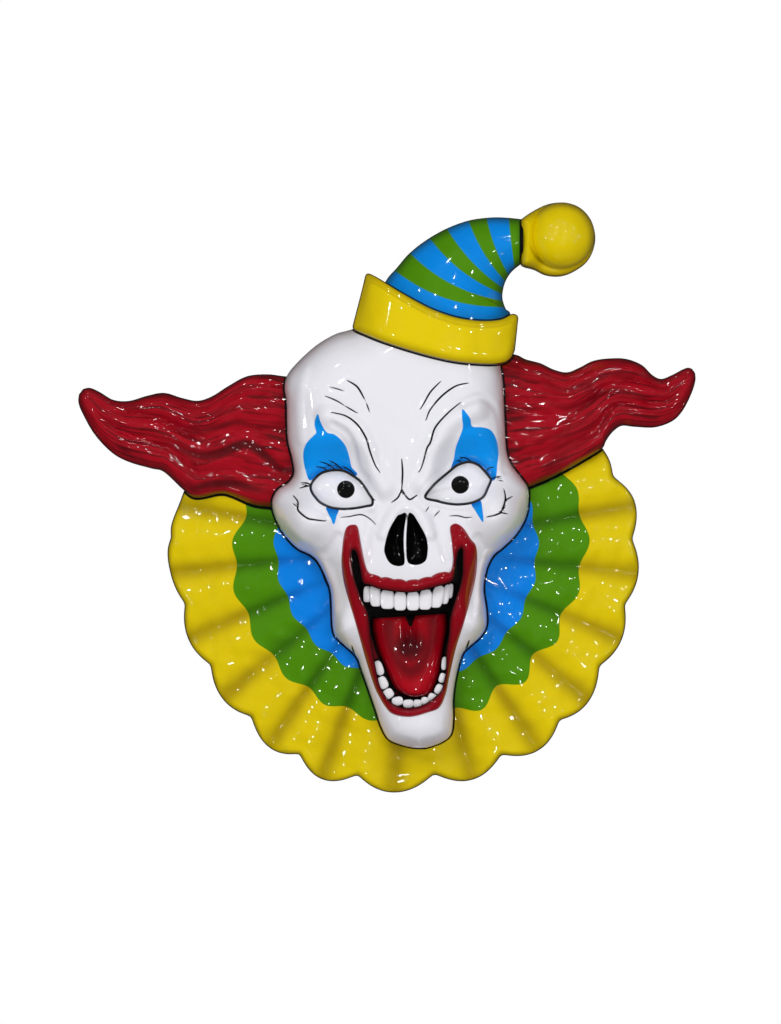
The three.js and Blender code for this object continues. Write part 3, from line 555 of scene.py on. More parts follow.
def makeLips():
    # the inner line lies inside the throat's, so that the lips cover its wall
    outer, inner = lipOutline(), offsetOutline(smoothLine(mouthLine, True), -mouthForm["lipInset"])
    outer, inner = np.vstack([outer, outer[:1]]), np.vstack([inner, inner[:1]])
    share = np.linspace(0, 1, mouthForm["lipRings"] + 1)
    spots = outer[:, None] + (inner - outer)[:, None] * share[None, :, None]
    profile = np.sin(np.pi * (0.1 + 0.72 * share)) * smooth(share, -0.02, 0.12) - 0.25 * (share == 0)
    depth = faceDepth(spots) + mouthForm["lipRise"] * profile[None, :]
    return sheetBody("lips", spots, depth, paints["face"], ring=True)


# The tongue: a cleft at its root, then a trough, then a bulge towards its tip
tongueForm = {
    "rows": 63, "columns": 44, "crowding": 0.6, "rise": 44, "edge": 0.2, "shoulder": 16, "length": 90,
    "root": 8, "cleft": 0.4, "cleftHalf": 6, "trough": 0.14, "troughHalf": 19, "bulge": 0.1, "bulgeHalf": 15,
}
tongueCleft = [(5, -94), (5.5, -104), (7, -113), (6.5, -124)]
# the tongue is darkened with painted shade along these two lines
tongueFolds = [
    [(-17, -104), (-15, -120), (-9, -136), (0, -148), (6, -151)],
    [(28, -102), (27, -118), (21, -134), (13, -147), (6, -151)],
]


def makeTongue():
    left, right, s = sidesOf(tongueLeft, tongueRight, tongueForm["rows"])
    spots, t, width = stripSpots(left, right, tongueForm["columns"], tongueForm["crowding"])
    across = (t - 0.5) * width
    ends = np.minimum((1 - s) * tongueForm["length"], tongueForm["root"] + s * tongueForm["length"])
    rounded = quarterRound(np.minimum(np.minimum(t, 1 - t) * width, ends) / tongueForm["shoulder"])
    crown = 1 - tongueForm["cleft"] * swell(across, 0, tongueForm["cleftHalf"]) * (1 - smooth(s, 0.05, 0.62))
    crown -= tongueForm["trough"] * swell(s, 0.3, 0.22) * swell(across, 0, tongueForm["troughHalf"])
    crown += tongueForm["bulge"] * swell(s, 0.72, 0.17) * swell(across, 0, tongueForm["bulgeHalf"])
    depth = mouthForm["floor"] + tongueForm["rise"] * mix(tongueForm["edge"], 1, rounded) * crown
    return sheetBody("tongue", spots, depth, paints["tongue"])


# The eyes: a flat bulge with a domed pupil, inside a raised lid
eyeForm = {
    "front": 168, "sink": 1.5, "hole": 0.8, "floor": 130, "steps": 5, "rings": 24, "pupilRise": 4,
    "pupilReach": 14, "lidHeight": 4,
}
lidProfile = [(-1.6, -0.9), (-0.6, 0.35), (0.6, 0.95), (1.8, 1), (3.4, 0.75), (5.5, 0.3), (8, -0.3)]
eyeOutlines = [smoothLine(eye, True, eyeForm["steps"]) for eye in (leftEye, rightEye)]
eyeMiddles = [(-60, 30), (57, 35)]
pupils = [((-58.9, 30.5), 8.8), ((54.8, 35.1), 8.9)]


def makeEyes():
    made = []
    shares = np.linspace(1, 0, eyeForm["rings"])
    offsets, heights = np.transpose(lidProfile)
    for outline, middle, (pupil, _), name in zip(eyeOutlines, eyeMiddles, pupils, ["leftEye", "rightEye"]):
        spots = discSpots(outline, middle, shares)
        rimDepth = faceDepth(spots[:, 0]) - eyeForm["sink"]
        depth = mix(rimDepth[:, None], eyeForm["front"], 1 - shares[None, :] ** 2)
        depth = depth + eyeForm["pupilRise"] * softBump(lengthOf(spots - pupil) / eyeForm["pupilReach"])
        made.append(sheetBody(name, spots, depth, paints["eye"]))
        rims = np.stack([offsetOutline(outline, offset) for offset in offsets], axis=1)
        rims = np.concatenate([rims, rims[:1]])
        depth = faceDepth(rims) + eyeForm["lidHeight"] * heights[None, :]
        made.append(sheetBody(name + "Lid", rims, depth, paints["face"], ring=True))
    return made


# The ruff's pleats crest at the notches of its rim, and the creases run out to the lobes' ends
ruffForm = {
    "middle": (0, -27), "reach": 228, "hiddenReach": 150, "seen": (-26, 194), "ramp": 24, "seam": -83,
    "firstNotch": -2, "pitch": 16.75, "drift": 3.3, "driftAt": (103, 18), "scallop": 16, "droopAt": (88, 45),
    "thickness": 60, "rimThickness": 27, "pleatHeight": 14, "rimRoll": 8, "rimEdge": 0.62, "turns": 540,
    "lump": 1.1, "plain": 60,
}
ruffRings = np.concatenate([[1, 0.995, 0.985, 0.972, 0.958], np.linspace(0.94, 0.42, 34), [0.3, 0.15, 0]])
# Where the rim stands out or in from its even lobes: by how much, at which angle and how far it spreads
rimTrims = [(6, 108, 22), (5, 50, 14), (7.5, 182, 6), (-6, 192, 7), (-5.5, -19, 5), (-14, -28, 6.5)]


def pleatPhase(angle):
    drift = ruffForm["drift"] * swell(angle, *ruffForm["driftAt"])
    return np.pi * (angle - ruffForm["firstNotch"] - drift) / ruffForm["pitch"]


def trimmed(value, trims, angle):
    for most, at, spread in trims:
        value = value + most * swell(angle, at, spread)
    return value


def ruffReach(angle):
    low, high = ruffForm["seen"]
    past = np.maximum(np.maximum(low - angle, angle - high), 0)
    lobe = (np.sqrt(np.sin(pleatPhase(angle)) ** 2 + 0.02) - 0.1) ** 0.85  # soft in its notches
    lobe = lobe * (1 + swell(angle, *ruffForm["droopAt"]))
    rim = ruffForm["reach"] + ruffForm["scallop"] * mm / square * lobe
    rim = trimmed(rim, rimTrims, angle)
    return mix(rim, ruffForm["hiddenReach"], smooth(past, 0, ruffForm["ramp"]))


def ruffPlace(points):
    # angle clockwise from the right, from the seam round to it again, and radius
    right, down = points[..., 0] - ruffForm["middle"][0], ruffForm["middle"][1] - points[..., 1]
    angle = np.degrees(np.arctan2(down, right))
    return np.where(angle < ruffForm["seam"], angle + 360, angle), np.hypot(right, down)


def makeRuff():
    angle = ruffForm["seam"] + 360 * np.linspace(0, 1, ruffForm["turns"] + 1)[:, None]
    reach = ruffReach(angle)
    radius = ruffRings[None, :] * reach
    way = np.stack([np.cos(np.radians(angle)), -np.sin(np.radians(angle))], axis=-1)
    spots = np.array(ruffForm["middle"]) + way * radius[..., None]
    spread = smooth(radius, ruffForm["plain"], ruffForm["reach"])
    depth = mix(ruffForm["thickness"], ruffForm["rimThickness"], spread ** 1.3)
    # uneven lumps of the hand-laid skin, none at the middle, where all the rows meet
    lump = np.sin(radius / 3.6 + 3 * np.sin(angle / 9)) * np.sin(angle / 2.9 + 2 * np.sin(radius / 31))
    lump = lump * smooth(radius, ruffForm["plain"], 110) * smooth(reach - radius, 2, 12)
    ridge = spread * np.abs(np.cos(pleatPhase(angle)))
    depth = depth + ruffForm["pleatHeight"] * ridge + ruffForm["lump"] * lump
    fall = quarterRound((reach - radius) / ruffForm["rimRoll"])
    return sheetBody("ruff", spots, depth * mix(ruffForm["rimEdge"], 1, fall), paints["ruff"])


# A wing of hair: locks in slow waves, combed into fine strands
hairForm = {
    "root": 84, "tip": 46, "lock": 5.4, "locks": 3, "edge": 0.62, "shoulder": 20, "length": 210, "rows": 118,
    "columns": 72, "crowding": 0.3, "strand": 0.8, "strands": 11, "groove": 6, "grooveHalf": 9,
}
hairSides = [("leftHair", leftHairBottom, leftHairTop), ("rightHair", rightHairBottom, rightHairTop)]
# Deep grooves between the locks: waves on both wings, and a combed fan at the right one's root
hairGrooves = [
    (1.0, [(-250, 88), (-230, 74), (-207, 65), (-185, 67), (-159, 76), (-141, 65), (-123, 49), (-112, 42)]),
    (0.9, [(-228, 48), (-212, 33), (-194, 36), (-168, 36), (-150, 31), (-130, 27)]),
    (0.6, [(-262, 104), (-236, 96), (-214, 88), (-190, 92), (-166, 98), (-142, 88), (-120, 78)]),
    (0.5, [(-230, 112), (-204, 104), (-180, 108), (-156, 116), (-130, 108)]),
    (0.6, [(112, 120), (140, 118), (164, 112), (186, 120), (208, 130), (230, 126), (250, 116), (266, 118)]),
    (0.6, [(112, 142), (136, 138), (160, 130), (184, 138), (206, 146), (228, 142), (246, 130)]),
    (0.5, [(206, 112), (222, 108), (236, 104), (256, 104)]),
]
combed = {"count": 6, "start": (126, 36), "step": (2.6, 8.2), "way": [(0, 0), (19, 11), (39, 20), (60, 27)]}
for index in range(combed["count"]):
    start = np.array(combed["start"]) + index * np.array(combed["step"])
    hairGrooves.append((0.5, start + combed["way"]))
hairGrooves = [(strength, smoothLine(points)) for strength, points in hairGrooves]


def grooveDepth(points):
    # 0 between the grooves and up to 1 in their middle
    depth = np.zeros(points.shape[:-1])
    for strength, line in hairGrooves:
        half = hairForm["grooveHalf"] * (0.5 + 0.5 * strength)
        count = len(line) - 1
        for index in range(count):
            taper = strength * math.sin(math.pi * (index + 0.5) / count) ** 0.7
            depth = np.maximum(depth, taper * softBump(gapTo(points, line[index:index + 2], half) / half))
    return depth


def makeHair(name, bottom, top):
    low, high, s = sidesOf(bottom, top, hairForm["rows"])
    spots, t, width = stripSpots(low, high, hairForm["columns"], hairForm["crowding"])
    body = mix(hairForm["root"], hairForm["tip"], smooth(s, 0, 1))
    edge = np.minimum(np.minimum(t, 1 - t) * width, (1 - s) * hairForm["length"])
    rounded = quarterRound(edge / hairForm["shoulder"])
    lock = 2 * np.abs(np.sin(np.pi * (hairForm["locks"] * t + 0.35 * np.sin(5 * s)))) - 1
    strand = np.sin(2 * np.pi * (hairForm["strands"] * t + 0.8 * np.sin(6 * s + 4 * t)))
    strand = strand * (0.6 + 0.4 * np.sin(9 * s + 7 * t))
    relief = hairForm["lock"] * lock + hairForm["strand"] * strand - hairForm["groove"] * grooveDepth(spots)
    depth = body * mix(hairForm["edge"], 1, rounded) + relief * rounded * smooth(1 - s, 0.01, 0.3)
    return sheetBody(name, spots, depth, paints["hair"])


# The hat: a turned-up brim, a striped tail, and a bobble in a collar that rises to the tail's neck
hatForm = {
    "rows": 89, "brimColumns": 26, "brimCrowding": 0.55, "tailColumns": 40, "tailCrowding": 0.7,
    "bobbleSegments": 72, "brim": 216, "brimEnd": 122, "brimRoll": 15, "brimEdge": 0.93, "brimLap": 6,
    "rim": 6.5, "rimHalf": 2.5, "rimGroove": 1.6, "tail": 158, "tailTip": 96, "tailEdge": 0.5,
    "bobbleRadius": 64, "bobbleDepth": 116, "bobbleMiddle": (157, 285), "collar": 54, "collarRoll": 7,
    "collarEdge": 0.7, "neck": 98, "neckRoll": 14, "neckFrom": 140, "neckTo": 120,
}
collarRings = [1, 0.99, 0.97, 0.94, 0.9, 0.84, 0.75, 0.5, 0]


def makeBrim():
    low, high, s = sidesOf(brimBottom, brimTop, hatForm["rows"])
    spots, t, width = stripSpots(low, high, hatForm["brimColumns"], hatForm["brimCrowding"])
    across = mix(hatForm["brimEnd"], hatForm["brim"], np.sin(np.pi * (0.04 + 0.92 * s)) ** 0.7)
    overFace = np.where(isInside(low, faceOutline), faceDepth(low) + hatForm["brimLap"], 0)
    across = np.maximum(across, overFace[:, None] / hatForm["brimEdge"])
    rounded = quarterRound(np.minimum(t, 1 - t) * width / hatForm["brimRoll"])
    groove = softBump(np.abs((1 - t) * width - hatForm["rim"]) / hatForm["rimHalf"])
    depth = across * mix(hatForm["brimEdge"], 1, rounded) - hatForm["rimGroove"] * groove
    return sheetBody("brim", spots, depth, paints["yellow"])


def makeTail():
    low, high, s = sidesOf(tailInner, tailOuter, hatForm["rows"])
    spots, t, _ = stripSpots(low, high, hatForm["tailColumns"], hatForm["tailCrowding"])
    crown = mix(hatForm["tail"], hatForm["tailTip"], smooth(s, 0, 1))
    depth = crown * mix(hatForm["tailEdge"], 1, np.sin(np.pi * t) ** 0.55)
    return sheetBody("tail", spots, depth, paints["tail"])


def makeBobble():
    radius, deep = hatForm["bobbleRadius"] * mm, hatForm["bobbleDepth"] * mm
    middle = (hatForm["bobbleMiddle"][0] * square, radius - deep, hatForm["bobbleMiddle"][1] * square)
    deselectAll()
    bpy.ops.mesh.primitive_uv_sphere_add(
        segments=hatForm["bobbleSegments"], ring_count=hatForm["bobbleSegments"] // 2, radius=radius,
        location=middle)
    ball = bpy.context.object
    ball.name = "bobble"
    bpy.ops.object.transform_apply(location=True, rotation=True, scale=True)
    bpy.ops.object.mode_set(mode="EDIT")
    bpy.ops.mesh.select_all(action="SELECT")
    bpy.ops.mesh.bisect(plane_co=middle, plane_no=(0, 1, 0), clear_outer=True, use_fill=False)
    closeSheet(backing)
    paintedSlot(ball, paints["yellow"])
    spots = discSpots(smoothLine(bobbleCollar, True, 6), hatForm["bobbleMiddle"], collarRings)
    edge = lengthOf(spots - spots[:, :1])
    neck = smooth(spots[..., 0], hatForm["neckFrom"], hatForm["neckTo"])
    roll = mix(hatForm["collarRoll"], hatForm["neckRoll"], neck)
    crown = mix(hatForm["collar"], hatForm["neck"], neck)
    depth = crown * mix(hatForm["collarEdge"], 1, quarterRound(edge / roll))
    return [ball, sheetBody("collar", spots, depth, paints["yellow"])]


# Keyhole hangers, cut from behind as in the part
keyhole = {
    "spacing": 0.58, "height": 0.15, "entry": 0.02, "slot": 0.01, "length": 0.032, "lip": 0.004,
    "pocket": 0.016, "overlap": 0.001,
}
wall = {"size": 3, "thickness": 0.1}


def backBlock(place, size):
    deselectAll()
    bpy.ops.mesh.primitive_cube_add(size=1, location=place, scale=size)
    piece = bpy.context.object
    bpy.ops.object.transform_apply(location=True, rotation=True, scale=True)
    paintedSlot(piece, paints["back"])
    return piece


def cutKeyholes(piece):
    entry, slot, lip = keyhole["entry"], keyhole["slot"], keyhole["lip"]
    deep, through = lip + keyhole["pocket"], lip + keyhole["overlap"]
    high, low = keyhole["height"], keyhole["height"] - keyhole["length"]
    for side in (-1, 1):
        right = side * keyhole["spacing"] / 2
        # round cutters: width, height, nearest and farthest depth
        rounds = [(entry, low, -backing, deep), (slot, high, -backing, through), (entry, high, lip, deep)]
        for width, up, near, far in rounds:
            deselectAll()
            bpy.ops.mesh.primitive_cylinder_add(
                vertices=32, radius=width / 2, depth=far - near, location=(right, -(near + far) / 2, up),
                rotation=(math.pi / 2, 0, 0))
            cutter = bpy.context.object
            paintedSlot(cutter, paints["back"])
            combine(piece, cutter, "DIFFERENCE")
        for width, near, far in ((slot, -backing, through), (entry, lip, deep)):
            place = (right, -(near + far) / 2, high - keyhole["length"] / 2)
            combine(piece, backBlock(place, (width, far - near, keyhole["length"])), "DIFFERENCE")


def makePlaque():
    face = makeFace()
    print("face carved")
    for outline, middle in zip(eyeOutlines, eyeMiddles):
        hollowOut(face, "eyeHole", offsetOutline(outline, -eyeForm["hole"]), eyeForm["floor"], middle)
    hollowOut(face, "slits", smoothLine(mouthLine, True, 6), mouthForm["cornerFloor"])
    throat = [point for point in mouthLine if point[1] <= mouthForm["throatTop"]]
    hollowOut(face, "throat", smoothLine(throat, True, 6), mouthForm["floor"])
    for line in (leftNostril, rightNostril):
        nostril = smoothLine(line, True, 6)
        hollowOut(face, "nostril", nostril, mouthForm["nostrilFloor"], bowl=mouthForm["nostrilBowl"])
    print("mouth and nose hollowed")
    bodies = [makeHair(*side) for side in hairSides]
    bodies += [face, makeLips(), makeTongue(), *makeTeeth(), *makeEyes()]
    bodies += [makeTail(), makeBrim(), *makeBobble()]
    print("hair, hat and mouth made")
    plaque = makeRuff()
    for body in bodies:
        combine(plaque, body, "UNION")
    size, thickness = wall["size"], wall["thickness"]
    combine(plaque, backBlock((0, thickness / 2, 0), (size, thickness, size)), "DIFFERENCE")
    cutKeyholes(plaque)
    plaque.name = "clownWallPlaque"
    plaque.data.name = "clownWallPlaque"
    print("pieces joined:", len(plaque.data.polygons), "faces")
    return plaque


plaque = makePlaque()

# Where each paint begins and ends: outlines, and how far their distances are told
outlineFields = {
    "face": ([faceOutline], 12),
    "lip": ([lipOutline()], 12),
    "mouth": ([smoothLine(mouthLine, True)], 30),
    "eye": (eyeOutlines, 30),
    "blue": ([smoothLine(patch, True) for patch in eyePaint.values()], 12),
    "nostril": ([smoothLine(leftNostril, True), smoothLine(rightNostril, True)], 12),
    "tooth": ([outline for outline, _, _ in teeth], 6),
    "hair": ([outlineBetween(bottom, top) for _, bottom, top in hairSides], 12),
    "brim": ([outlineBetween(brimBottom, brimTop)], 12),
    "tail": ([outlineBetween(tailInner, tailOuter)], 12),
    "collar": ([smoothLine(bobbleCollar, True)], 12),
    "tongue": ([outlineBetween(tongueLeft, tongueRight)], 20),
}
# Lines the paint follows: the brim's top, for painted shade in its rim groove, and the tongue's cleft and folds
lineFields = {"brimTopGap": [brimTop], "cleftGap": [tongueCleft], "tongueFold": tongueFolds}
# the tongue's hollow, darkened with painted shade
tongueHollow = {"at": (5, -126), "size": (36, 28)}
hairZone = {"from": 70, "low": -5, "high": 180, "batch": 4000}  # where hair is, and how many points at a time
strokeZone = {"margin": 6, "farthest": 9.0, "ends": 0.3}
# The ruff's inner rings: radius and its trims, how far they sway with the pleats and the sway's trims
rings = {
    "blue": (132, [(3, 50, 30), (-3, 165, 35)], 2, []),
    "green": (174, [(8, -5, 18), (-9, 194, 14)], 3.4, [(3.8, 52, 25)]),
}
steepest = 0.15  # a side wall's normal faces the front by less than this
# Stripes of the hat's tail: where their edges meet its outer and inner side
# and how far they bow towards the brim
stripeEdges = [
    ((-34, 232), (112, 196), 11), ((-10, 249), (98, 213), 11), ((6, 266), (97.5, 219), 9),
    ((26, 280), (97.5, 226), 7), ((43, 290), (98, 232), 5), ((64, 298), (100, 239), 4),
    ((82, 301.5), (104, 245), 3), ((104, 302), (110, 252), 1), ((120, 302), (118, 258), 0),
]


def keep(name, values, domain="POINT"):
    layer = plaque.data.attributes.new(name, "FLOAT", domain)
    layer.data.foreach_set("value", np.ascontiguousarray(values, dtype=np.float32))


def keepStrokes(points):
    # signed distance across the nearest stroke in half-widths, and plain distance to it
    margin, farthest, ends = strokeZone["margin"], strokeZone["farthest"], strokeZone["ends"]
    across, near = np.full(len(points), farthest), np.full(len(points), farthest)
    for width, line in brushStrokes:
        lengths = walkedLengths(line)
        box = (points > line.min(axis=0) - margin) & (points < line.max(axis=0) + margin)
        spots = np.flatnonzero(np.all(box, axis=1))
        for index, (start, end) in enumerate(zip(line[:-1], line[1:])):
            share, gap = toSegment(points[spots], start, end)
            along, away = end - start, points[spots] - start
            side = np.sign(along[0] * away[:, 1] - along[1] * away[:, 0])
            walked = mix(lengths[index], lengths[index + 1], share) / lengths[-1]
            half = width / 2 * mix(ends, 1, np.sqrt(np.sin(np.pi * mix(0.04, 0.96, walked))))
            closer = gap < near[spots]
            chosen = spots[closer]
            near[chosen] = gap[closer]
            across[chosen] = np.clip(side[closer] * gap[closer] / half[closer], -farthest, farthest)
    keep("strokeAcross", across)
    keep("strokeNear", near)


def keepRings(points):
    angle, radius = ruffPlace(points)
    phase = pleatPhase(angle)
    wave = np.cos(2 * phase)
    keep("ruffEdge", radius - ruffReach(angle))
    for name, (ring, trims, sway, swayTrims) in rings.items():
        edge = trimmed(ring, trims, angle) + trimmed(sway, swayTrims, angle) * wave
        keep(name + "Edge", radius - edge)
    # how near a pleat's crease, for painted shade there
    keep("crease", np.abs(np.sin(phase)) ** 9 * smooth(radius, 60, 150))


def keepHairFields(points):
    # across is 0 at the lower edge of a wing and 1 at the upper, along is 0 at the root and 1 at the tip
    across, along = np.zeros(len(points)), np.zeros(len(points))
    for name, bottom, top in hairSides:
        low, high, _ = sidesOf(bottom, top, hairForm["rows"])
        rung = high - low
        right, up = points[:, 0] * (-1 if name == "leftHair" else 1), points[:, 1]
        chosen = np.flatnonzero((right > hairZone["from"]) & (up > hairZone["low"]) & (up < hairZone["high"]))
        for batch in np.array_split(chosen, max(1, len(chosen) // hairZone["batch"])):
            # the rung that passes closest to each point
            away = points[batch][:, None] - low[None]
            t = clamp01((away * rung).sum(-1) / (rung ** 2).sum(-1))
            best = lengthOf(away - t[..., None] * rung).argmin(axis=1)
            across[batch] = t[np.arange(len(batch)), best]
            along[batch] = best / hairForm["rows"]
    keep("hairAcross", across)
    keep("hairAlong", along)


def keepBands(points):
    # each edge is a line, and the phase counts the edges passed
    gaps = []
    for outer, inner, bow in stripeEdges:
        way, away = np.subtract(inner, outer), points - outer
        share = clamp01(away @ way / (way @ way))
        distance = (way[0] * away[:, 1] - way[1] * away[:, 0]) / np.hypot(*way)
        gaps.append(distance + bow * 4 * share * (1 - share))
    passed = [clamp01(low / np.maximum(low - high, 0.001)) for low, high in zip(gaps[:-1], gaps[1:])]
    keep("stripe", np.sum(passed, axis=0))


def keepFields():
    # kept on the mesh as distances in squares
    points = readVectors(plaque.data.vertices, "co")[:, [0, 2]] / square
    for name, (outlines, reach) in outlineFields.items():
        keep(name + "Gap", np.min([signedGap(points, outline, reach) for outline in outlines], axis=0))
    for name, lines in lineFields.items():
        keep(name, np.min([gapTo(points, smoothLine(line), 20) for line in lines], axis=0))
    keep("pupilGap", np.min([lengthOf(points - at) - radius for at, radius in pupils], axis=0))
    keep("ballGap", lengthOf(points - hatForm["bobbleMiddle"]) - hatForm["bobbleRadius"] * mm / square)
    # the tongue's hollow, for its painted shade
    keep("tongueHollow", softBump(ovalShare(points, tongueHollow["at"], tongueHollow["size"], 0)))
    # how deep in the hair's grooves, for painted shade there
    keep("groove", grooveDepth(points))
    keep("up", points[:, 1])
    keepStrokes(points)
    keepRings(points)
    keepHairFields(points)
    keepBands(points)
    # the side walls, square to the wall, are left without the front's black outlines
    facing = readVectors(plaque.data.polygons, "normal")[:, 1]
    keep("side", np.abs(facing) < steepest, "FACE")


keepFields()
print("paint laid out")


# Node helpers, which find the tree from the sockets that they are given
def srgb(red, green, blue):
    def linear(value):
        value /= 255
        return value / 12.92 if value <= 0.04045 else ((value + 0.055) / 1.055) ** 2.4
    return (linear(red), linear(green), linear(blue), 1.0)


def plug(socket, value):
    if isinstance(value, bpy.types.NodeSocket):
        socket.id_data.links.new(value, socket)
    else:
        socket.default_value = value


def addNode(tree, kind, settings=None, **inputs):
    node = tree.nodes.new(kind)
    for key, value in (settings or {}).items():
        setattr(node, key, value)
    for key, value in inputs.items():
        plug(node.inputs[key], value)
    return node


def nodeFrom(values, kind, places, **settings):
    # a node with the values in its inputs at those places
    tree = next(value.id_data for value in values if isinstance(value, bpy.types.NodeSocket))
    node = addNode(tree, kind, settings)
    for place, value in zip(places, values):
        plug(node.inputs[place], value)
    return node


def calc(operation, *values):
    return nodeFrom(values, "ShaderNodeMath", (0, 1), operation=operation).outputs[0]


def plus(first, second):
    return calc("ADD", first, second)


def minus(first, second):
    return calc("SUBTRACT", first, second)


def times(first, second):
    return calc("MULTIPLY", first, second)


def ramp(value, low, high, toLow=0.0, toHigh=1.0):
    values = (value, low, high, toLow, toHigh)
    return nodeFrom(values, "ShaderNodeMapRange", range(5), interpolation_type="SMOOTHSTEP").outputs[0]


def blend(share, first, second, how="MIX"):
    values = (share, first, second)
    return nodeFrom(values, "ShaderNodeMix", (0, 6, 7), data_type="RGBA", blend_type=how).outputs[2]


def below(value, limit, soft=0.35):
    # 1 where the value is under the limit
    return ramp(value, limit - soft, limit + soft, 1.0, 0.0)


def above(value, limit, soft=0.35):
    return ramp(value, limit - soft, limit + soft)


def anyOf(*masks):
    result = masks[0]
    for mask in masks[1:]:
        result = calc("MAXIMUM", result, mask)
    return result


def noise(tree, place, scale, detail, distortion=0.0):
    settings = {"Vector": place, "Scale": scale, "Detail": detail, "Distortion": distortion}
    return addNode(tree, "ShaderNodeTexNoise", **settings).outputs["Fac"]


def makeGroup(name, inputs, outputs):
    # a node group, the sockets that it is given and those that it gives out, and the object's own coordinates
    group = bpy.data.node_groups.new(name, "ShaderNodeTree")
    for label, value in inputs.items():
        kind = "NodeSocketColor" if isinstance(value, tuple) else "NodeSocketFloat"
        group.interface.new_socket(label, in_out="INPUT", socket_type=kind).default_value = value
    for label, kind in outputs.items():
        group.interface.new_socket(label, in_out="OUTPUT", socket_type=kind)
    place = addNode(group, "ShaderNodeTexCoord").outputs["Object"]
    given = group.nodes.new("NodeGroupInput").outputs
    return group, given, group.nodes.new("NodeGroupOutput").inputs, place


# Brushed enamel: the colour drifts a little, and painted shade, soft as airbrush and patchy, and black ink lie
# on it
def makeEnamel():
    given = {"Color": (1, 1, 1, 1), "Shade Color": (0, 0, 0, 1), "Shade": 0.0, "Ink": 0.0, "Drift": 0.06}
    group, given, out, place = makeGroup("brushedEnamel", given, {"Color": "NodeSocketColor"})
    cloud = noise(group, place, 9.0, 3.0)
    speck = noise(group, place, 60.0, 2.0)
    level = plus(times(minus(plus(cloud, speck), 1.0), given["Drift"]), 1.0)
    grey = addNode(group, "ShaderNodeCombineColor", Red=level, Green=level, Blue=level).outputs[0]
    painted = blend(1.0, given["Color"], grey, "MULTIPLY")
    uneven = times(given["Shade"], ramp(cloud, 0.2, 0.7, 0.8, 1.1))
    shaded = blend(uneven, painted, given["Shade Color"])
    plug(out["Color"], blend(given["Ink"], shaded, colours["black"]))
    return group


# Gloss lacquer: almost flat, with a slight orange peel and faint wipe marks
def makeLacquer():
    given = {"Roughness": 0.12, "Peel": 1.0, "Waves": 24.0}
    outputs = {"Roughness": "NodeSocketFloat", "Height": "NodeSocketFloat"}
    group, given, out, place = makeGroup("glossLacquer", given, outputs)
    height = plus(times(noise(group, place, 110.0, 0.0), 0.03), noise(group, place, given["Waves"], 0.0))
    plug(out["Height"], times(height, given["Peel"]))
    wipe = ramp(noise(group, place, 5.0, 4.0), 0.45, 0.8, 0.0, 0.07)
    plug(out["Roughness"], plus(given["Roughness"], wipe))
    return group


# Each paint's shade colour lays painted shade on it, where the surface turns away, in creases and beside other
# parts; the hair's also gives its dark brush streaks
colours = {
    "white": (229, 228, 235), "faceEdgeShade": (196, 176, 178), "lip": (140, 2, 20),
    "lipShade": (58, 3, 8), "eyeBlue": (0, 142, 232), "eyeBlueShade": (0, 78, 170),
    "yellow": (222, 196, 0), "yellowShade": (120, 92, 0), "green": (76, 138, 2),
    "greenShade": (22, 66, 2), "ruffBlue": (0, 130, 230), "ruffBlueShade": (0, 58, 140),
    "hair": (160, 6, 26), "hairStreakAndShade": (62, 8, 12), "hatBlue": (0, 134, 226),
    "tongue": (166, 3, 22), "tongueShade": (74, 4, 12), "gum": (140, 4, 20),
    "tooth": (232, 230, 234), "greyShade": (170, 170, 176), "black": (9, 8, 9),
    "gelcoat": (208, 206, 200),
}
colours = {name: srgb(*colour) for name, colour in colours.items()}
enamel = makeEnamel()
lacquer = makeLacquer()


def fieldsOf(name):
    # reads the fields on the mesh into a paint's nodes
    paints[name].use_nodes = True
    tree = paints[name].node_tree

    def field(label):
        settings = {"attribute_name": label, "attribute_type": "GEOMETRY"}
        return addNode(tree, "ShaderNodeAttribute", settings).outputs["Fac"]
    return field


# Under the lacquer the enamel hardly shines, and ink is a little duller
def finishPaint(name, colour, shadeColour, shade, ink, drift=0.06, roughness=0.36, peel=1.0, waves=24.0,
                extraHeight=0.0, inkedSides=False):
    if not inkedSides:
        ink = times(ink, minus(1.0, fieldsOf(name)("side")))
    tree = paints[name].node_tree
    given = {"Roughness": roughness, "Peel": peel, "Waves": waves}
    coat = addNode(tree, "ShaderNodeGroup", {"node_tree": lacquer}, **given)
    given = {"Color": colour, "Shade Color": shadeColour, "Shade": shade, "Ink": ink, "Drift": drift}
    painted = addNode(tree, "ShaderNodeGroup", {"node_tree": enamel}, **given)
    height = plus(coat.outputs["Height"], extraHeight)
    bump = addNode(tree, "ShaderNodeBump", Height=height, Strength=1.0, Distance=0.0018)
    shader = next(node for node in tree.nodes if node.type == "BSDF_PRINCIPLED")
    plug(shader.inputs["Base Color"], painted.outputs["Color"])
    plug(shader.inputs["Roughness"], plus(coat.outputs["Roughness"], times(ink, 0.3)))
    plug(shader.inputs["Normal"], bump.outputs["Normal"])
    plug(shader.inputs["Coat Weight"], minus(1.0, times(ink, 0.2)))
    shader.inputs["IOR"].default_value = 1.5
    shader.inputs["Specular IOR Level"].default_value = 0.12
    shader.inputs["Coat IOR"].default_value = 1.42
    shader.inputs["Coat Roughness"].default_value = 0.06


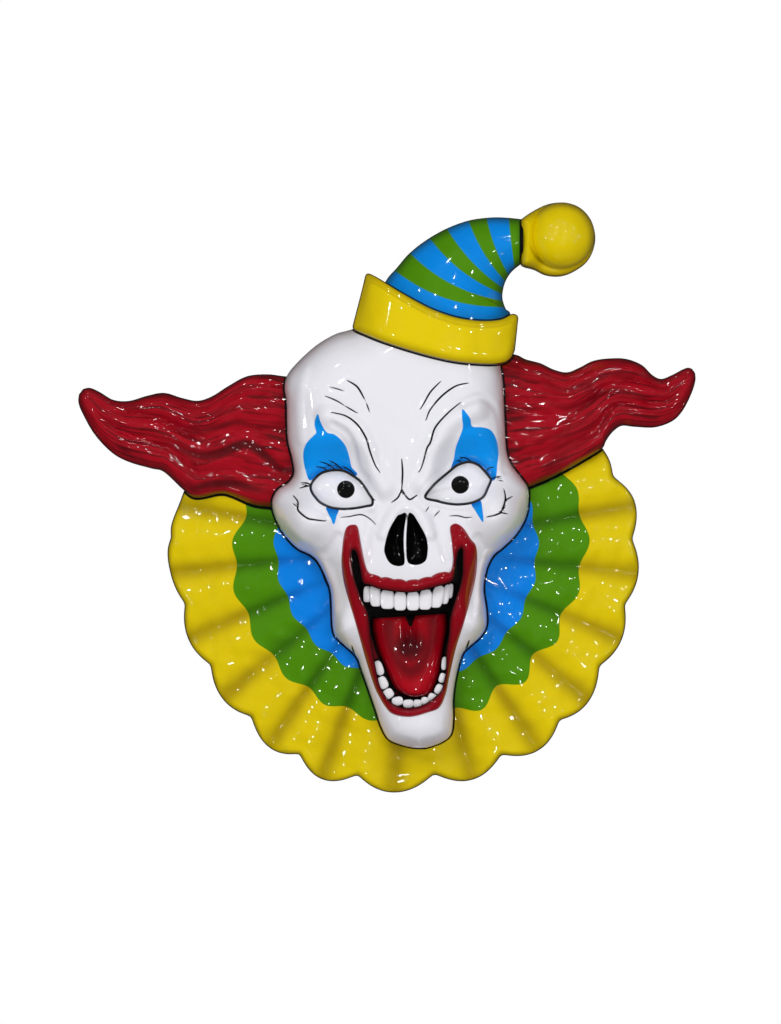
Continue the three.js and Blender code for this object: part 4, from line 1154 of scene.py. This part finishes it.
def finishFace():
    field = fieldsOf("face")
    faceGap, eyeGap, mouthGap = field("faceGap"), field("eyeGap"), field("mouthGap")
    lip = below(field("lipGap"), 0.0)
    # the blue darkens next to the eye, in the socket: painted shade
    blueTone = blend(times(below(eyeGap, 5.0, 4.0), 0.7), colours["eyeBlue"], colours["eyeBlueShade"])
    # the lips darken towards the mouth and down its walls: painted shade
    lipTone = blend(below(mouthGap, 2.0, 3.5), colours["lip"], colours["lipShade"])
    base = blend(below(field("blueGap"), 0.0), colours["white"], blueTone)
    stroke = times(below(calc("ABSOLUTE", field("strokeAcross")), 0.9), below(field("strokeNear"), 1.6, 0.3))
    ink = anyOf(
        stroke, below(eyeGap, 1.3), above(faceGap, -0.5), below(field("brimGap"), 1.7),
        below(field("nostrilGap"), 0.2), below(mouthGap, 0.2))
    # painted shade, pinkish grey, darkens the face towards its edge, but not the lips
    edgeShade = times(above(faceGap, -6.0, 5.5), minus(0.6, times(lip, 0.6)))
    finishPaint("face", blend(lip, base, lipTone), colours["faceEdgeShade"], edgeShade, ink, drift=0.02, peel=1.6)


def finishMouth():
    field = fieldsOf("inside")
    # the dark red low in the mouth is lighter than the part's own: painted light against the deep trench's
    # shade
    clear = times(above(field("tongueGap"), 1.6), above(field("toothGap"), 1.2))
    tone = blend(times(below(field("up"), -106.0, 6.0), clear), colours["black"], colours["gum"])
    finishPaint("inside", tone, colours["black"], 0.0, 0.0, drift=0.0)
    toothGap = fieldsOf("tooth")("toothGap")
    # painted grey shade at the teeth's sides
    shade = times(above(toothGap, -1.4, 1.0), 0.35)
    ink = above(toothGap, -0.6, 0.2)
    finishPaint("tooth", colours["tooth"], colours["greyShade"], shade, ink, drift=0.02, inkedSides=True)
    field = fieldsOf("tongue")
    tongueGap = field("tongueGap")
    # painted shade along the two folds, in the tongue's hollow and towards its edge
    shade = anyOf(
        times(below(field("tongueFold"), 7.0, 7.0), 0.75), times(field("tongueHollow"), 1.1),
        times(above(tongueGap, -4.0, 4.0), 0.8))
    cleftWidth = ramp(field("up"), -112.0, -92.0, 0.3, 5.5)
    ink = anyOf(below(minus(field("cleftGap"), cleftWidth), 0.0, 0.5), above(tongueGap, -1.3))
    finishPaint("tongue", colours["tongue"], colours["tongueShade"], shade, ink, peel=0.6, waves=40.0,
                inkedSides=True)


def finishEyes():
    field = fieldsOf("eye")
    eyeGap = field("eyeGap")
    # painted grey shade towards the eye's rim, under the raised lids
    shade = times(above(eyeGap, -5.0, 4.5), 0.35)
    ink = anyOf(above(eyeGap, -1.3), below(field("pupilGap"), 0.0))
    finishPaint("eye", colours["white"], colours["greyShade"], shade, ink, drift=0.02, peel=0.1, inkedSides=True)


def finishHair():
    field = fieldsOf("hair")
    tree, hairGap = paints["hair"].node_tree, field("hairGap")
    along, across = times(field("hairAlong"), 5.0), times(field("hairAcross"), 26.0)
    flow = addNode(tree, "ShaderNodeCombineXYZ", X=along, Y=across)
    streak = noise(tree, flow.outputs[0], 1.0, 3.0, 0.4)
    # dark brush streaks along the strands, and painted shade in the grooves and towards the wing's edge
    shade = anyOf(
        ramp(streak, 0.45, 0.66, 0.0, 0.75), ramp(field("groove"), 0.1, 0.9, 0.0, 0.85),
        times(above(hairGap, -4.0, 4.0), 0.7))
    ink = anyOf(above(hairGap, -1.1), below(field("faceGap"), 1.9), below(field("brimGap"), 1.9))
    finishPaint("hair", colours["hair"], colours["hairStreakAndShade"], shade, ink, peel=3.6, waves=44.0,
                extraHeight=times(streak, 0.15))


def finishHat():
    field = fieldsOf("tail")
    tailGap = field("tailGap")
    stripe = calc("PINGPONG", plus(field("stripe"), 0.5), 1.0)
    tone = blend(above(stripe, 0.5, 0.04), colours["green"], colours["hatBlue"])
    ink = anyOf(above(tailGap, -1.0), below(field("brimGap"), 1.5), below(field("collarGap"), 1.1))
    # painted shade towards the tail's edges
    finishPaint("tail", tone, colours["greenShade"], times(above(tailGap, -5.0, 4.5), 0.5), ink, peel=2.5)
    field = fieldsOf("yellow")
    # painted shade towards the edges, in the brim's rim groove, and low where the ball meets its collar
    edge = calc("MINIMUM", field("brimGap"), field("collarGap"))
    rimGrooveShade = calc("ABSOLUTE", minus(field("brimTopGap"), hatForm["rim"]))
    ballFoldShade = calc("ABSOLUTE", minus(field("ballGap"), 0.5))
    ballFoldShade = times(below(ballFoldShade, 1.4, 1.6), below(field("up"), 272.0, 14.0))
    shade = anyOf(
        times(above(edge, -5.0, 4.5), 0.45), times(below(rimGrooveShade, 1.2, 1.4), 0.3), times(ballFoldShade, 0.6))
    finishPaint("yellow", colours["yellow"], colours["yellowShade"], shade, above(edge, -0.9), peel=1.8)


def finishRuff():
    field = fieldsOf("ruff")
    pastBlue, pastGreen = above(field("blueEdge"), 0.0), above(field("greenEdge"), 0.0)
    ruffEdge = field("ruffEdge")
    tone = blend(pastGreen, blend(pastBlue, colours["ruffBlue"], colours["green"]), colours["yellow"])
    # painted shade in the pleats' creases and towards the rim, a darker tone of each ring
    shadeTone = blend(pastGreen, blend(pastBlue, colours["ruffBlueShade"], colours["greenShade"]), colours["yellowShade"])
    shade = anyOf(times(field("crease"), 0.55), times(above(ruffEdge, -3.5, 3.0), 0.4))
    front = calc("MINIMUM", field("faceGap"), field("hairGap"))
    ink = anyOf(below(front, 2.1), above(ruffEdge, -1.1))
    finishPaint("ruff", tone, shadeTone, shade, ink, peel=4.0, waves=28.0)


finishFace()
finishMouth()
finishEyes()
finishHair()
finishHat()
finishRuff()
finishPaint("back", colours["gelcoat"], colours["greyShade"], 0.0, 0.0, roughness=0.45, peel=2.0)

deselectAll()
bpy.context.view_layer.objects.active = plaque
plaque.select_set(True)
bpy.ops.object.shade_smooth_by_angle(angle=math.radians(38))
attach(plaque, "root")
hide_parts("clown_wall_plaque")
print("plaque painted")


# Studio: white paper behind, a pale floor below, small hard lamps for the gloss and two large soft ones
studio = {
    "lens": 300, "frameHeight": 1024, "middle": (-14.5, 8), "focus": -0.08, "floor": -1.5, "floorSize": 3.0,
    "floorThickness": 0.03, "floorRoughness": 0.7, "softSky": 0.22, "glossSky": 0.04, "clip": 100,
}
# Soft lamps fill the shade and don't show in the gloss: place, size, power
softLamps = [((-1.2, -3.4, 1.6), 1.8, 46), ((0.8, -3.4, -0.4), 2.0, 36)]
# Bulbs give the gloss its small bright dots, and the first one is the glint in the pupils
bulb = {
    "glint": (0.25, -2.95, -0.92), "count": 22, "reach": 3.1, "nearest": 7, "farthest": 62, "turn": 2.4,
    "lowest": -0.9, "size": 0.11, "power": 2.2,
}
bulbPlaces = [bulb["glint"]]
for index in range(bulb["count"]):
    tilt = math.radians(mix(bulb["nearest"], bulb["farthest"], math.sqrt((index + 0.5) / bulb["count"])))
    turn = index * bulb["turn"]
    way = np.array([math.sin(tilt) * math.cos(turn), -math.cos(tilt), math.sin(tilt) * math.sin(turn)])
    if bulb["reach"] * way[2] > bulb["lowest"]:
        bulbPlaces.append(tuple(bulb["reach"] * way))


def makeFloor():
    deselectAll()
    bpy.ops.mesh.primitive_plane_add(size=studio["floorSize"], location=(0, 0, studio["floor"]))
    floor = bpy.context.object
    floor.name = "paleFloor"
    bpy.ops.object.mode_set(mode="EDIT")
    bpy.ops.mesh.extrude_region_move(TRANSFORM_OT_translate={"value": (0, 0, -studio["floorThickness"])})
    bpy.ops.mesh.select_all(action="SELECT")
    bpy.ops.mesh.normals_make_consistent(inside=False)
    bpy.ops.object.mode_set(mode="OBJECT")
    bpy.ops.object.transform_apply(location=True, rotation=True, scale=True)
    paper = bpy.data.materials.new("paleFloor")
    paper.use_nodes = True
    shader = paper.node_tree.nodes["Principled BSDF"]
    shader.inputs["Base Color"].default_value = srgb(236, 236, 234)
    shader.inputs["Roughness"].default_value = studio["floorRoughness"]
    floor.data.materials.append(paper)
    floor.visible_glossy = False


def makeSky():
    world = bpy.data.worlds.new("studio")
    bpy.context.scene.world = world
    world.use_nodes = True
    sky = world.node_tree.nodes["Background"]
    sky.inputs["Color"].default_value = (1, 1, 1, 1)
    rays = addNode(world.node_tree, "ShaderNodeLightPath").outputs
    indoors = ramp(rays["Is Glossy Ray"], 0.0, 1.0, studio["softSky"], studio["glossSky"])
    plug(sky.inputs["Strength"], calc("MAXIMUM", indoors, rays["Is Camera Ray"]))


def makeLamp(place, size, power, inGloss):
    lamp = bpy.data.lights.new("lamp", "AREA")
    lamp.shape = "DISK"
    lamp.energy = power
    lamp.size = size
    spot = bpy.data.objects.new("lamp", lamp)
    bpy.context.collection.objects.link(spot)
    right, back, up = place
    spot.location = place
    spot.rotation_euler = (math.atan2(math.hypot(right, back), up), 0, math.atan2(right, -back))
    spot.visible_glossy = inGloss
    spot.visible_camera = False


def makeCamera():
    camera = bpy.data.cameras.new("camera")
    camera.lens = studio["lens"]
    camera.clip_end = studio["clip"]
    holder = bpy.data.objects.new("camera", camera)
    bpy.context.collection.objects.link(holder)
    distance = studio["frameHeight"] * square * camera.lens / camera.sensor_width
    holder.location = (studio["middle"][0] * square, studio["focus"] - distance, studio["middle"][1] * square)
    holder.rotation_euler = (math.pi / 2, 0, 0)
    bpy.context.scene.camera = holder


makeFloor()
makeSky()
for place, size, power in softLamps:
    makeLamp(place, size, power, False)
for place in bulbPlaces:
    makeLamp(place, bulb["size"], bulb["power"], True)
makeCamera()
bpy.context.scene.view_settings.view_transform = "Standard"
print("studio ready")
